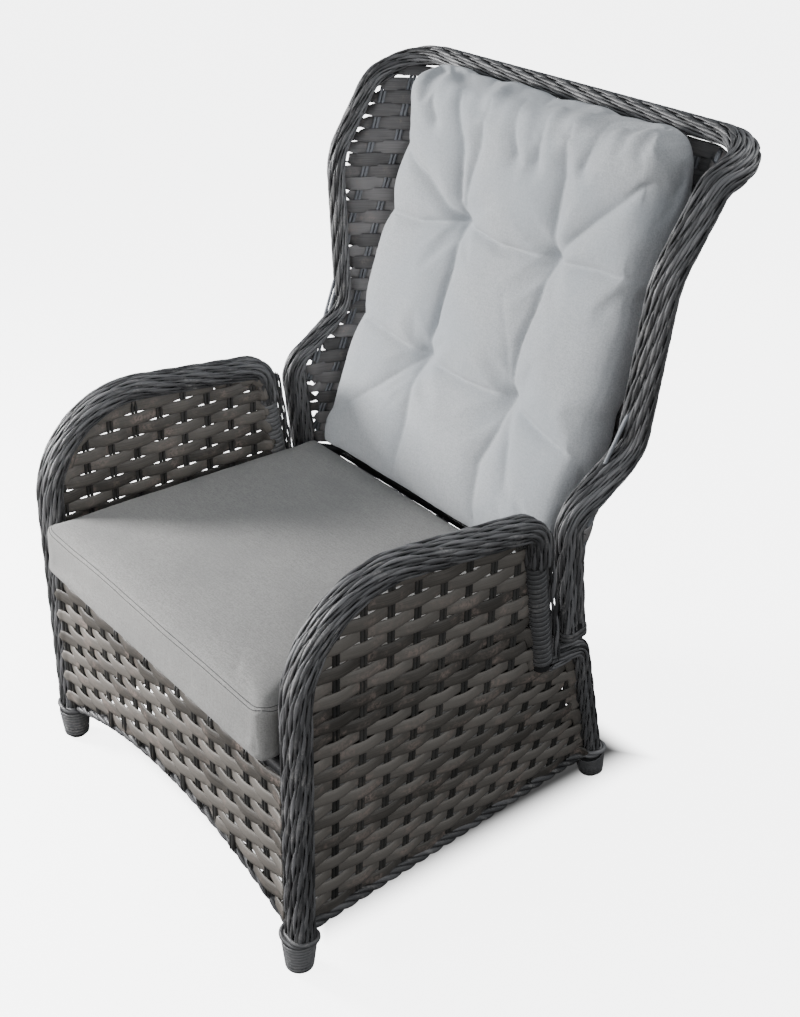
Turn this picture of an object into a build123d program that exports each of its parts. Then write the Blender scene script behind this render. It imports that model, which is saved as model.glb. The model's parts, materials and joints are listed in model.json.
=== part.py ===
from build123d import *
import math
import os

# Reclining garden armchair in woven wicker: a wrapped tube frame with
# braided edges, woven panels, loose cushions, and a winged back that tilts
# on two hinge pins and is held by a locking gas spring under the seat.
# Millimetres, +Z up, floor at Z = 0. The sitter faces -Y and the sitter's
# left is +X. Left hand pieces are drawn and mirrored for the right hand.

os.makedirs("parts", exist_ok=True)

# Stance of the frame, from the floor up
post_x = 335.0            # middle of the chair to the middle of a front post
front_post_y = -308.0
rear_foot_x = 278.0
rear_foot_y = 334.0
ledge_x = 331.0           # rear leg tube where it leaves the ledge
ledge_y = 212.0
ledge_z = 337.0
post_foot_y = 134.0       # rear arm post where it meets the seat rail
arm_peak_z = 628.0        # arm line carried forward to the front post
arm_rear_y = 94.0         # arm line and rear post meet here
arm_rear_z = 586.0
arm_front_bend = 156.0
arm_rear_bend = 32.0
leg_bend = 26.0

# Tubes and rods
arm_tube_d = 25.0
leg_tube_d = 24.0
rail_tube_d = 22.0
cross_tube_d = 16.0
back_tube_d = 22.0
bottom_rod_d = 9.0
tube_wall = 2.0
seat_rail_z = 340.0
side_rail_x = 309.0

# Feet
foot_height = 58.0
foot_top_d = 52.0
foot_low_d = 40.0
glide_height = 6.0
glide_d = 30.0
glide_peg_d = 14.0
glide_peg_height = 12.0

# Braided edges
arm_braid_inner = 19.0    # from the tube's middle, toward the sitter
arm_braid_outer = 21.5
arm_braid_rise = 16.0     # on the outside of the bend
arm_braid_drop = 14.5
braid_round = 12.0
leg_braid_d = 37.0
braid_tail_share = 0.25   # how far the arm braid runs down the rear post
post_braid_width = 34.0
post_braid_depth = 9.0
post_braid_round = 3.0
post_wrap_d = 33.0
edge_band_d = 17.0
cross_braid_d = 26.0
cross_tube_y = 217.0

# Woven panels
weave_thickness = 8.0
side_panel_x = 331.0      # middle of the side weave
front_panel_y = -316.0
bottom_edge_z = 63.0
front_arch_rise = 68.0
rear_arch_rise = 40.0

# Seat
strap_thickness = 2.4
strap_width = 42.0
strap_count = 6
cushion_side_z = 438.0
cushion_crown = 10.0
cushion_half_width = 311.5
cushion_front_y = -347.0
cushion_rear_y = 184.0
cushion_side_bulge = 5.0
cushion_end_draw = 14.0
cushion_end_run = 26.0
cushion_width_shares = (1.0, 0.0, 0.35, 0.0, 1.0)
cushion_height_shares = (1.0, 0.0, 0.0, 0.0, 1.0)

# Recline hinge
pivot_y = 186.0
pivot_z = 388.0
recline_range_deg = 24.0
hinge_pin_d = 9.9
hinge_bore_d = 10.0
hinge_bush_d = 16.0
hinge_head_height = 4.0
hinge_plate = 4.0
hinge_plate_x = 317.0     # inner face of the fixed plate
hinge_plate_width = 24.0
hinge_gap = 0.5           # between fixed plate and bush

# Back rim, by the tube's middle line
tail_x = 339.0
tail_lean = 0.137         # rearward run of the tail for each unit down
tail_width = 31.0
tail_depth = 44.0
tail_end = 20.0           # tail below the hinge pin
tube_end_margin = 2.0
elbow_z = 573.0
shoulder_x = 342.0
shoulder_y = 273.0
shoulder_z = 652.0
wing_x = 369.0
wing_y = 275.0
wing_z = 912.0
crown_x = 371.0
crown_y = 352.0
crown_z = 1030.0
top_y = 452.0
top_z = 1064.0
elbow_bend = 45.0
shoulder_bend = 55.0
wing_bend = 110.0
crown_bend = 45.0
corner_bend = 78.0
rim_long = 46.0           # long side of the braided band
rim_short = 30.0
rim_round = 13.0
rim_turn_deg = 36.0       # the band's long side turns out and back
tail_wrap_height = 16.0
tail_wrap_thickness = 1.5

# Back panel and wings
panel_half_width = 286.0
lower_tube_y = 226.0
lower_tube_z = 408.0
lower_tube_bend = 24.0
panel_top_y = 450.0
panel_top_drop = 12.0     # weave's upper edge under the rim's middle line
panel_top_z = top_z - panel_top_drop
panel_bow = 14.0
wing_swell = 6.0
lower_tube_d = 18.0

# Back cushion
back_cushion_half_width = 276.0   # at its back and front corners
back_cushion_bottom_z = 440.0
back_cushion_drop = 2.0   # its top under the rim's middle line
back_cushion_top_z = top_z - back_cushion_drop
back_cushion_thickness = 88.0
back_cushion_front_limit = 425.0   # its back stays before the braided top rim
side_bulge_share = 0.30   # of the edge thickness, outward
tuft_x = 103.0
level_shares = (0.0, 0.03, 0.17, 0.322, 0.49, 0.662, 0.83, 0.97, 1.0)
edge_shares = (0.25, 0.48, 0.66, 0.56, 0.66, 0.56, 0.66, 0.46, 0.25)
tuft_shares = (0.28, 0.50, 0.85, 0.50, 0.82, 0.50, 0.85, 0.50, 0.28)
puff_shares = (0.02, 0.08, 0.18, 0.14, 0.20, 0.14, 0.18, 0.08, 0.02)

# Locking gas spring under the seat
lever_arm = 80.0          # hinge pin to spring pin
lever_rest_deg = 4.5      # rearward of straight down at rest
lever_plate = 4.0
lever_plate_inner_x = 5.5
lever_plate_width = 15.0
lever_top_bend_y = 207.0
lever_top_bend_z = 372.0
lever_low_bend_y = 200.5
lever_low_bend_z = 347.0
spring_pin_d = 8.0
spring_pin_half = 11.0
spring_eye_d = 20.0
spring_eye_width = 10.0
spring_eye_bore = 10.4    # open pivot: the bore takes the small arc of the arm
neck_d = 8.0
cylinder_d = 20.0
cylinder_wall = 2.0
cylinder_end = 4.0
cylinder_start = 18.0     # distances along the spring from the rear eye
cylinder_length = 112.0
piston_at = 98.0
piston_d = 15.8
piston_length = 8.0
rod_d = 8.0
rod_bore_d = 8.1
rod_end = 205.0
head_start = 195.0
head_length = 26.0
head_width = 22.0
head_height = 20.0
tang_width = 12.0
tang_height = 8.0
strut_tube_at = 245.0
strut_tube_d = 16.0

# Release toggle on the spring head
toggle_at = 208.0
toggle_rise = 5.0         # its pin above the spring's middle line
toggle_drop = 15.0        # its lower end below that line
toggle_width = 8.0
toggle_thickness = 4.0
toggle_pin_d = 5.0
toggle_bore_d = 5.1
toggle_cap_d = 8.0
toggle_cap = 1.0
cable_ear = 3.0
cable_ear_width = 9.0
cable_ear_height = 12.0

# Release lever on the right hand side
lever_y = -60.0
lever_z = 320.0
lever_shaft_d = 10.0
lever_bore_d = 10.1
lever_bush_d = 22.0
lever_bush_inner_x = 298.0
lever_flange_d = 30.0
lever_flange = 4.0
handle_length = 92.0
handle_width = 24.0
handle_thickness = 7.0
crank_length = 30.0
crank_width = 12.0
crank_thickness = 4.0
bracket_reach = 24.0      # crank end to the cable stop
bracket_width = 12.0
bracket_thickness = 4.0
cable_d = 5.0
cable_bend = 28.0
cable_turn_y = 40.0

# Clearances
sliver = 0.3              # between soft pieces and their neighbours
running_gap = 0.5
overrun = 40.0            # how far cutting shapes pass through
origin_y = 64.1           # middle of the whole chair, made Y = 0 at the end

pieces = {}


def keep(name, *solids):
    """Collect the solids of one named piece."""
    flat = []
    for item in solids:
        flat.extend(item.solids())
    pieces[name] = flat[0] if len(flat) == 1 else Compound(children=flat)


def mirrored(solid):
    return mirror(solid, about=Plane.YZ)


def keep_pair(name, left_solid):
    """Keep a left hand piece and its mirror image as two nodes."""
    keep("left_" + name, left_solid)
    keep("right_" + name, mirrored(left_solid))


def keep_both(name, left_solid):
    """Keep a left and a right copy as two solids of one node."""
    keep(name, left_solid, mirrored(left_solid))


def largest(shape):
    return max(shape.solids(), key=lambda s: s.volume)


def blend_value(a, b, t):
    return a + (b - a) * t


def swept(path, outline, x_dir=(1, 0, 0)):
    """Outline carried along a path, with a chosen local x at its start."""
    start = Plane(origin=path @ 0, x_dir=x_dir, z_dir=path % 0)
    return sweep(start * outline, path=path)


def tube(path, outer_d, x_dir=(1, 0, 0)):
    """Hollow round tube along a path."""
    ring = Circle(outer_d / 2) - Circle(outer_d / 2 - tube_wall)
    return swept(path, ring, x_dir)


def rod(path, outer_d, x_dir=(1, 0, 0)):
    return swept(path, Circle(outer_d / 2), x_dir)


def box_between(low, high):
    """Box from its low corner to its high corner."""
    size = [high[i] - low[i] for i in range(3)]
    middle = [(high[i] + low[i]) / 2 for i in range(3)]
    return Pos(*middle) * Box(*size)


def pin_along_x(x_start, x_end, y, z, diameter):
    length = x_end - x_start
    middle = Pos((x_start + x_end) / 2, y, z) * Rot(0, 90, 0)
    return middle * Cylinder(diameter / 2, length)


def plate_along_x(points_yz, x_start, x_end):
    """Flat plate with a Y-Z outline, thick along X."""
    outline = make_face(Polyline(*points_yz, close=True))
    sheet = Plane(origin=(x_start, 0, 0), x_dir=(0, 1, 0), z_dir=(1, 0, 0)) * outline
    return extrude(sheet, x_end - x_start, dir=(1, 0, 0))


def link(x_start, x_end, width, *points):
    """Flat bar with round ends through Y-Z points, thick along X."""
    solid = pin_along_x(x_start, x_end, *points[0], width)
    for (y0, z0), (y1, z1) in zip(points, points[1:]):
        span = math.hypot(y1 - y0, z1 - z0)
        side_y = (z1 - z0) / span * width / 2
        side_z = (y0 - y1) / span * width / 2
        corners = [(y0 + side_y, z0 + side_z), (y1 + side_y, z1 + side_z),
                   (y1 - side_y, z1 - side_z), (y0 - side_y, z0 - side_z)]
        solid = solid + plate_along_x(corners, x_start, x_end)
        solid = solid + pin_along_x(x_start, x_end, y1, z1, width)
    return solid


def cross_line(half_width, y, z):
    return Line((-half_width, y, z), (half_width, y, z))


# Lines that the frame follows

stub_floor = glide_height + glide_peg_height
arm_bends = [arm_front_bend, arm_rear_bend]
arm_corners = [(post_x, front_post_y, arm_peak_z), (post_x, arm_rear_y, arm_rear_z)]
arm_path = FilletPolyline(
    (post_x, front_post_y, stub_floor),
    *arm_corners,
    (post_x, post_foot_y, seat_rail_z - rail_tube_d / 2),
    radius=arm_bends,
)
braid_path = FilletPolyline(
    (post_x, front_post_y, foot_height),
    *arm_corners,
    (post_x, blend_value(arm_rear_y, post_foot_y, braid_tail_share),
     blend_value(arm_rear_z, seat_rail_z, braid_tail_share)),
    radius=arm_bends,
)
leg_path = FilletPolyline(
    (post_x, post_foot_y + arm_tube_d / 2, ledge_z),
    (ledge_x, ledge_y, ledge_z),
    (rear_foot_x, rear_foot_y, 0),
    radius=[leg_bend],
)
post_lean = (post_foot_y - arm_rear_y) / (arm_rear_z - seat_rail_z)


def post_y(z):
    """Middle of the rear arm post at a height."""
    return arm_rear_y + (arm_rear_z - z) * post_lean


def leg_point(z):
    """Middle of the rear leg at a height."""
    t = (ledge_z - z) / ledge_z
    return blend_value(ledge_x, rear_foot_x, t), blend_value(ledge_y, rear_foot_y, t)


# Frame tubes of the base

left_post = rod(arm_path, arm_tube_d)
both_posts = left_post + mirrored(left_post)
leg_solid = rod(leg_path, leg_tube_d)
both_legs = leg_solid + mirrored(leg_solid)
front_rail_line = cross_line(post_x, front_post_y, seat_rail_z)
rear_rail_line = cross_line(post_x, post_foot_y, seat_rail_z)
side_rail_line = Line((side_rail_x, front_post_y, seat_rail_z), (side_rail_x, post_foot_y, seat_rail_z))
side_rail_solid = rod(side_rail_line, rail_tube_d)
front_rail_solid = rod(front_rail_line, rail_tube_d, (0, 1, 0))
rear_rail_solid = rod(rear_rail_line, rail_tube_d, (0, 1, 0))
ledge_line = cross_line(ledge_x, cross_tube_y, ledge_z)
ledge_solid = rod(ledge_line, cross_tube_d, (0, 1, 0))


def build_frame():
    below = box_between((0, 0, -overrun), (post_x * 2, post_x * 2, stub_floor))
    keep_pair("arm_tube", tube(arm_path, arm_tube_d))
    keep_pair("rear_leg_tube", largest(tube(leg_path, leg_tube_d) - below - left_post))
    keep("front_seat_rail", largest(tube(front_rail_line, rail_tube_d, (0, 1, 0)) - both_posts))
    keep("rear_seat_rail", largest(tube(rear_rail_line, rail_tube_d, (0, 1, 0)) - both_posts))
    side_rail = tube(side_rail_line, rail_tube_d) - front_rail_solid - rear_rail_solid
    keep_pair("seat_side_rail", largest(side_rail))
    keep("rear_cross_tube", largest(tube(ledge_line, cross_tube_d, (0, 1, 0)) - both_legs))


# Braid solids shared by several pieces

def arm_outline():
    width = arm_braid_inner + arm_braid_outer
    depth = arm_braid_rise + arm_braid_drop
    shift_x = (arm_braid_outer - arm_braid_inner) / 2
    shift_y = (arm_braid_drop - arm_braid_rise) / 2
    return Pos(shift_x, shift_y) * RectangleRounded(width, depth, braid_round)


arm_block = swept(braid_path, arm_outline())
leg_block = rod(leg_path, leg_braid_d) - box_between(
    (0, 0, -overrun), (post_x * 2, post_x * 2, foot_height))
post_wrap_line = Line((post_x, post_y(arm_rear_z), arm_rear_z),
                      (post_x, post_y(seat_rail_z), seat_rail_z))
post_block = rod(post_wrap_line, post_wrap_d)
braid_block = arm_block + leg_block
both_braids = braid_block + mirrored(braid_block)


# Bottom rods and the twisted bands round them

def arch(half_width, y, z, rise):
    """Shallow arc across the chair."""
    return ThreePointArc((-half_width, y, z), (0, y, z + rise), (half_width, y, z))


rear_edge_x, rear_edge_y = leg_point(bottom_edge_z)
front_arch = arch(post_x, front_post_y, bottom_edge_z, front_arch_rise)
rear_arch = arch(rear_edge_x, rear_edge_y, bottom_edge_z, rear_arch_rise)
side_edge = Line((post_x, front_post_y, bottom_edge_z), (rear_edge_x, rear_edge_y, bottom_edge_z))


front_rod_solid = rod(front_arch, bottom_rod_d, (0, 1, 0))
rear_rod_solid = rod(rear_arch, bottom_rod_d, (0, 1, 0))
side_rod_solid = rod(side_edge, bottom_rod_d, (0, 0, 1))
front_band_solid = rod(front_arch, edge_band_d, (0, 1, 0))
rear_band_solid = rod(rear_arch, edge_band_d, (0, 1, 0))
side_band_solid = rod(side_edge, edge_band_d, (0, 0, 1))
rods_solid = front_rod_solid + rear_rod_solid + side_rod_solid


def build_bottom_edges():
    legs = both_posts + both_legs
    around = both_braids + feet_solid
    keep("front_bottom_rod", largest(front_rod_solid - legs))
    keep("rear_bottom_rod", largest(rear_rod_solid - legs))
    keep_pair("side_bottom_rod", largest(side_rod_solid - left_post - leg_solid))
    keep("front_edge_band", largest(front_band_solid - front_rod_solid - around))
    keep("rear_edge_band", largest(rear_band_solid - rear_rod_solid - around))
    keep_pair("side_edge_band", largest(side_band_solid - side_rod_solid - around))


# Braided edges over the frame

def build_braids():
    arm = arm_block - left_post - front_rail_solid - side_rail_solid - rods_solid
    keep_pair("arm_braid", largest(arm))
    wrap = largest(post_block - left_post - arm_block - leg_block)
    keep_pair("post_wrap", largest(wrap - hinge_plate_solid - rear_rail_solid))
    leg = leg_block - leg_solid - left_post - post_block - ledge_solid - rods_solid
    keep_pair("leg_braid", largest(leg))
    behind = post_wrap_d / 2 + post_braid_depth / 2
    strip_line = Line((post_x, post_y(arm_rear_z) + behind, arm_rear_z),
                      (post_x, post_y(ledge_z) + behind, ledge_z))
    strip = swept(strip_line, RectangleRounded(post_braid_width, post_braid_depth, post_braid_round))
    strip = largest(strip - arm_block - leg_block - post_block)
    keep_pair("post_braid", strip - hinge_plate_solid)
    front_half = box_between((-post_x, ledge_y - overrun, ledge_z - overrun),
                             (post_x, cross_tube_y, ledge_z + overrun))
    half_braid = rod(ledge_line, cross_braid_d, (0, 1, 0)) - ledge_solid - front_half
    keep("rear_ledge_braid", largest(half_braid - both_braids))


# Woven panels

def arch_cut(half_width, y, rise):
    """Solid under a bottom arch, cutting through a panel."""
    ends = [(-half_width, bottom_edge_z), (half_width, bottom_edge_z)]
    face = make_face([ThreePointArc(ends[0], (0, bottom_edge_z + rise), ends[1]), Line(ends[1], ends[0])])
    sheet = Plane(origin=(0, y + overrun, 0), x_dir=(1, 0, 0), z_dir=(0, -1, 0)) * face
    return extrude(sheet, overrun * 2, dir=(0, -1, 0))


def side_panel_solid():
    half = weave_thickness / 2
    inner = side_panel_x - half
    outer = side_panel_x + half
    upper = plate_along_x(
        [(front_post_y, ledge_z), (post_y(ledge_z), ledge_z), (arm_rear_y, arm_rear_z),
         (front_post_y, arm_peak_z)],
        inner, outer)
    shift = ledge_x - rear_edge_x
    front_face = make_face(Polyline(
        (inner, front_post_y, ledge_z), (outer, front_post_y, ledge_z),
        (outer, front_post_y, bottom_edge_z), (inner, front_post_y, bottom_edge_z), close=True))
    rear_face = make_face(Polyline(
        (inner, ledge_y, ledge_z), (outer, ledge_y, ledge_z),
        (outer - shift, rear_edge_y, bottom_edge_z),
        (inner - shift, rear_edge_y, bottom_edge_z), close=True))
    lower = loft([front_face, rear_face], ruled=True)
    blocks = braid_block + left_post + leg_solid + post_block
    return largest(upper + lower - blocks - rear_rail_solid - side_band_solid)


def build_panels():
    half = weave_thickness / 2
    panel = side_panel_solid()
    keep("left_side_panel", panel)
    keep("right_side_panel", mirrored(panel) - lever_pin(side_panel_x * 2, 0, lever_bush_d))
    front = box_between((-post_x, front_panel_y - half, bottom_edge_z),
                        (post_x, front_panel_y + half, seat_rail_z))
    front = front - arch_cut(post_x, front_panel_y, front_arch_rise)
    strapped_rail = rod(front_rail_line, rail_tube_d + strap_thickness * 2, (0, 1, 0))
    keep("front_panel", largest(front - front_band_solid - strapped_rail - both_braids))
    rear_face = make_face(Polyline(
        (-ledge_x, ledge_y, ledge_z), (ledge_x, ledge_y, ledge_z),
        (rear_edge_x, rear_edge_y, bottom_edge_z), (-rear_edge_x, rear_edge_y, bottom_edge_z), close=True))
    rear = extrude(rear_face, half, both=True) - arch_cut(rear_edge_x, rear_edge_y, rear_arch_rise)
    rear = rear - rear_band_solid - rod(ledge_line, cross_braid_d, (0, 1, 0))
    keep("rear_panel", largest(rear - both_braids - both_legs))


# Feet

def foot(top, low):
    """Wrapped foot round the end of a leg, cut level above and at the glide."""
    axis = Vector(*top) - Vector(*low)
    low_outline = Plane(origin=low, z_dir=axis) * Circle(foot_low_d / 2)
    top_outline = Plane(origin=top, z_dir=axis) * Circle(foot_top_d / 2)
    x, y = low[0], low[1]
    slab = box_between((x - foot_top_d, y - foot_top_d, glide_height),
                       (x + foot_top_d, y + foot_top_d, foot_height))
    return loft([low_outline, top_outline]) & slab


def build_feet():
    lift = foot_height + overrun / 2
    rear_top_x, rear_top_y = leg_point(lift)
    front = foot((post_x, front_post_y, lift), (post_x, front_post_y, 0))
    rear = foot((rear_top_x, rear_top_y, lift), (rear_foot_x, rear_foot_y, 0))
    glides = []
    for x, y in ((post_x, front_post_y), (rear_foot_x, rear_foot_y)):
        disc = Pos(x, y, glide_height / 2) * Cylinder(glide_d / 2, glide_height)
        peg = Pos(x, y, glide_height + glide_peg_height / 2) * Cylinder(glide_peg_d / 2, glide_peg_height)
        glides.append(disc + peg)
    cut = left_post + leg_solid + glides[0] + glides[1]
    keep_pair("front_foot", largest(front - cut))
    keep_pair("rear_foot", largest(rear - cut))
    keep("foot_glides", *glides, *[mirrored(g) for g in glides])
    return front + rear + mirrored(front) + mirrored(rear)


# Seat straps and cushion

strap_top_z = seat_rail_z + rail_tube_d / 2 + strap_thickness


def strap_hook(x, y, outward):
    """Strap end folded round the far side of a rail."""
    radius = rail_tube_d / 2
    centre = Pos(x, y, seat_rail_z) * Rot(0, 90, 0)
    hook = centre * (Cylinder(radius + strap_thickness, strap_width) - Cylinder(radius, strap_width))
    near = y - outward * overrun
    cut = box_between((x - strap_width, min(y, near), seat_rail_z - overrun),
                      (x + strap_width, max(y, near), seat_rail_z + overrun))
    return hook - cut


def build_seat():
    straps = []
    for i in range(strap_count):
        x = side_rail_x * 2 * ((i + 0.5) / strap_count - 0.5)
        flat = box_between((x - strap_width / 2, front_post_y, strap_top_z - strap_thickness),
                           (x + strap_width / 2, post_foot_y, strap_top_z))
        straps.append(flat + strap_hook(x, front_post_y, -1) + strap_hook(x, post_foot_y, 1))
    keep("seat_straps", *straps)

    stations = (cushion_front_y, cushion_front_y + cushion_end_run, (cushion_front_y + cushion_rear_y) / 2,
                cushion_rear_y - cushion_end_run, cushion_rear_y)
    sections = []
    for width_share, height_share, y in zip(cushion_width_shares, cushion_height_shares, stations):
        half = cushion_half_width - cushion_end_draw * width_share
        low = strap_top_z + sliver + cushion_end_draw * height_share / 2
        high = cushion_side_z - cushion_end_draw * height_share / 2
        crown = cushion_crown * (1 - width_share / 2)
        bulge = cushion_side_bulge * (1 - width_share / 2)
        outline = [
            Line((-half + bulge, low), (half - bulge, low)),
            ThreePointArc((half - bulge, low), (half, (low + high) / 2), (half - bulge, high)),
            ThreePointArc((half - bulge, high), (0, high + crown), (-half + bulge, high)),
            ThreePointArc((-half + bulge, high), (-half, (low + high) / 2), (-half + bulge, low)),
        ]
        plane = Plane(origin=(0, y, 0), x_dir=(1, 0, 0), z_dir=(0, -1, 0))
        sections.append(plane * make_face(outline))
    keep("seat_cushion", loft(sections, ruled=True))


# Recline hinge

def tail_y(z):
    """Middle of the tail at a height, in line with the pivot."""
    return pivot_y - (z - pivot_z) * tail_lean


tail_outer_x = tail_x + tail_width / 2
bush_start_x = hinge_plate_x + hinge_plate + hinge_gap
plate_low = pivot_z - hinge_plate_width / 2
plate_high = pivot_z + hinge_plate_width / 2
hinge_plate_solid = plate_along_x(
    [(post_y(plate_low), plate_low), (pivot_y, plate_low),
     (pivot_y, plate_high), (post_y(plate_high), plate_high)],
    hinge_plate_x, hinge_plate_x + hinge_plate)
hinge_plate_solid = hinge_plate_solid + pin_along_x(
    hinge_plate_x, hinge_plate_x + hinge_plate, pivot_y, pivot_z, hinge_plate_width)
bush_solid = pin_along_x(bush_start_x - hinge_gap, tail_outer_x, pivot_y, pivot_z, hinge_bush_d)


def build_hinge():
    pin_end_x = tail_outer_x - hinge_head_height
    pin_hole = pin_along_x(hinge_plate_x, tail_x, pivot_y, pivot_z, hinge_pin_d)
    keep_pair("hinge_plate", hinge_plate_solid - pin_hole - left_post)
    head = pin_along_x(hinge_plate_x - hinge_head_height, hinge_plate_x, pivot_y, pivot_z, hinge_bush_d)
    keep_both("hinge_pins", head + pin_along_x(hinge_plate_x, pin_end_x, pivot_y, pivot_z, hinge_pin_d))
    bush = pin_along_x(bush_start_x, tail_outer_x, pivot_y, pivot_z, hinge_bush_d)
    bore = pin_along_x(bush_start_x, pin_end_x + running_gap, pivot_y, pivot_z, hinge_bore_d)
    keep_both("hinge_bushes", bush - bore)


# Back frame, its braided rim and its weave

elbow_y = tail_y(elbow_z)
rim_points = [
    (tail_x, elbow_y, elbow_z),
    (shoulder_x, shoulder_y, shoulder_z),
    (wing_x, wing_y, wing_z),
    (crown_x, crown_y, crown_z),
    (crown_x, top_y, top_z),
]
rim_bends = [shoulder_bend, wing_bend, crown_bend, corner_bend]


def hoop_path(start):
    """Back frame line from the left start, over the top, to the right."""
    left = start + rim_points[1:]
    right = [(-x, y, z) for x, y, z in reversed(left)]
    lead = [elbow_bend] if len(start) == 2 else []
    bends = lead + rim_bends
    return FilletPolyline(*left, *right, radius=bends + bends[::-1])


def rim_at(z):
    """Point of the rim's guide line at a height."""
    if z < elbow_z:
        return tail_x, tail_y(z)
    for (x0, y0, z0), (x1, y1, z1) in zip(rim_points, rim_points[1:]):
        if z <= z1:
            t = (z - z0) / (z1 - z0)
            return blend_value(x0, x1, t), blend_value(y0, y1, t)
    return crown_x, top_y


def panel_y(z):
    """Middle of the back weave behind the cushion, as a smooth bow."""
    t = (z - lower_tube_z) / (panel_top_z - lower_tube_z)
    return blend_value(lower_tube_y, panel_top_y, t) + panel_bow * 4 * t * (1 - t)


weave_levels = [lower_tube_z + lower_tube_d / 2, elbow_z, shoulder_z, wing_z, crown_z, panel_top_z]


def weave_y(z):
    """Middle of the back weave as built, straight between its levels."""
    for z0, z1 in zip(weave_levels, weave_levels[1:]):
        if z <= z1:
            return blend_value(panel_y(z0), panel_y(z1), (z - z0) / (z1 - z0))
    return panel_y(panel_top_z)


def weave_section(z):
    """Closed outline of the back weave and both wings at one height."""
    rim_x, rim_y = rim_at(z)
    flat_y = panel_y(z)
    middle = ((rim_x + panel_half_width) / 2 + wing_swell, (rim_y + flat_y) / 2 + wing_swell)
    left = [(0, flat_y), (panel_half_width, flat_y), middle, (rim_x, rim_y)]
    front, back = [], []
    for i, (x, y) in enumerate(left):
        x0, y0 = left[max(i - 1, 0)]
        x1, y1 = left[min(i + 1, len(left) - 1)]
        span = math.hypot(x1 - x0, y1 - y0)
        side_x = (y1 - y0) / span * weave_thickness / 2
        side_y = (x0 - x1) / span * weave_thickness / 2
        front.append((x + side_x, y + side_y))
        back.append((x - side_x, y - side_y))
    outline = [(-x, y) for x, y in reversed(front[1:])] + front
    outline = outline + back[::-1] + [(-x, y) for x, y in back[1:]]
    return make_face(Polyline(*[(x, y, z) for x, y in outline], close=True))


def build_back():
    both_bushes = bush_solid + mirrored(bush_solid)
    tube_foot_z = pivot_z - tail_end + tube_end_margin
    hoop_line = hoop_path([(tail_x, tail_y(tube_foot_z), tube_foot_z), rim_points[0]])
    hoop_solid = rod(hoop_line, back_tube_d)
    keep("back_hoop_tube", largest(tube(hoop_line, back_tube_d) - both_bushes))

    low_end = (tail_x, tail_y(lower_tube_z), lower_tube_z)
    low_bend = (panel_half_width, lower_tube_y, lower_tube_z)
    low_line = FilletPolyline(low_end, low_bend, (-low_bend[0], *low_bend[1:]), (-low_end[0], *low_end[1:]),
                              radius=[lower_tube_bend, lower_tube_bend])
    low_solid = rod(low_line, lower_tube_d, (0, 0, 1))

    tail_foot_z = pivot_z - tail_end
    tail_line = Line((tail_x, tail_y(tail_foot_z), tail_foot_z), (tail_x, elbow_y, elbow_z))
    tail = swept(tail_line, RectangleRounded(tail_width, tail_depth, rim_round))
    elbow = pin_along_x(tail_x - tail_width / 2, tail_outer_x, elbow_y, elbow_z, tail_depth)
    tail = tail + elbow
    rim_outline = Rot(0, 0, rim_turn_deg) * RectangleRounded(rim_long, rim_short, rim_round)
    rim = swept(hoop_path([rim_points[0]]), rim_outline)
    tails = tail + mirrored(tail)
    keep("back_lower_tube", largest(tube(low_line, lower_tube_d, (0, 0, 1)) - tails))
    keep_pair("tail_braid", largest(tail - hoop_solid - bush_solid))

    wrap_top_z = tail_foot_z + tail_wrap_height
    wrap_line = Line((tail_x, tail_y(tail_foot_z), tail_foot_z), (tail_x, tail_y(wrap_top_z), wrap_top_z))
    grow = tail_wrap_thickness * 2
    ring = RectangleRounded(tail_width + grow, tail_depth + grow, rim_round + tail_wrap_thickness)
    ring = ring - RectangleRounded(tail_width, tail_depth, rim_round)
    keep_both("tail_wraps", swept(wrap_line, ring) - bush_solid)

    split = crown_x - corner_bend
    rim_hollow = rim - hoop_solid - tails
    side = box_between((split, 0, 0), (post_x * 2, post_x * 2, top_z * 2))
    middle = box_between((-split, 0, 0), (split, post_x * 2, top_z * 2))
    keep_pair("rim_braid", largest(rim_hollow & side))
    keep("top_rim_braid", largest(rim_hollow & middle))

    weave = loft([weave_section(z) for z in weave_levels], ruled=True)
    keep("back_weave", largest(weave - rim - tails - hoop_solid - low_solid))


def cushion_section(z, edge, tuft, puff):
    """Outline of the back cushion at one height: flat back, rounded sides, three puffs."""
    half = back_cushion_half_width
    bulge = edge * side_bulge_share
    back = min(weave_y(z) - weave_thickness / 2 - sliver, back_cushion_front_limit)
    points = [(half, back - edge), (tuft_x, back - tuft), (-tuft_x, back - tuft), (-half, back - edge)]
    edges = [Line((-half, back), (half, back))]
    edges.append(ThreePointArc((half, back), (half + bulge, back - edge / 2), points[0]))
    for (x0, y0), (x1, y1) in zip(points, points[1:]):
        edges.append(ThreePointArc((x0, y0), ((x0 + x1) / 2, (y0 + y1) / 2 - puff), (x1, y1)))
    edges.append(ThreePointArc(points[3], (-half - bulge, back - edge / 2), (-half, back)))
    return Plane(origin=(0, 0, z)) * make_face(edges)


def build_back_cushion():
    sections = []
    for level, edge, tuft, puff in zip(level_shares, edge_shares, tuft_shares, puff_shares):
        z = blend_value(back_cushion_bottom_z, back_cushion_top_z, level)
        depth = back_cushion_thickness
        sections.append(cushion_section(z, edge * depth, tuft * depth, puff * depth))
    keep("back_cushion", loft(sections, ruled=True))


# Gas spring, by its middle line: forward and a little up from the rear eye

half_swing = math.radians(recline_range_deg) / 2
spring_tilt = math.radians(lever_rest_deg) - half_swing
mean_arm = lever_arm * (1 + math.cos(half_swing)) / 2
eye_y = pivot_y + mean_arm * math.sin(spring_tilt) + math.cos(spring_tilt) * lever_arm * math.sin(half_swing)
eye_z = pivot_z - mean_arm * math.cos(spring_tilt) + math.sin(spring_tilt) * lever_arm * math.sin(half_swing)


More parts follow.
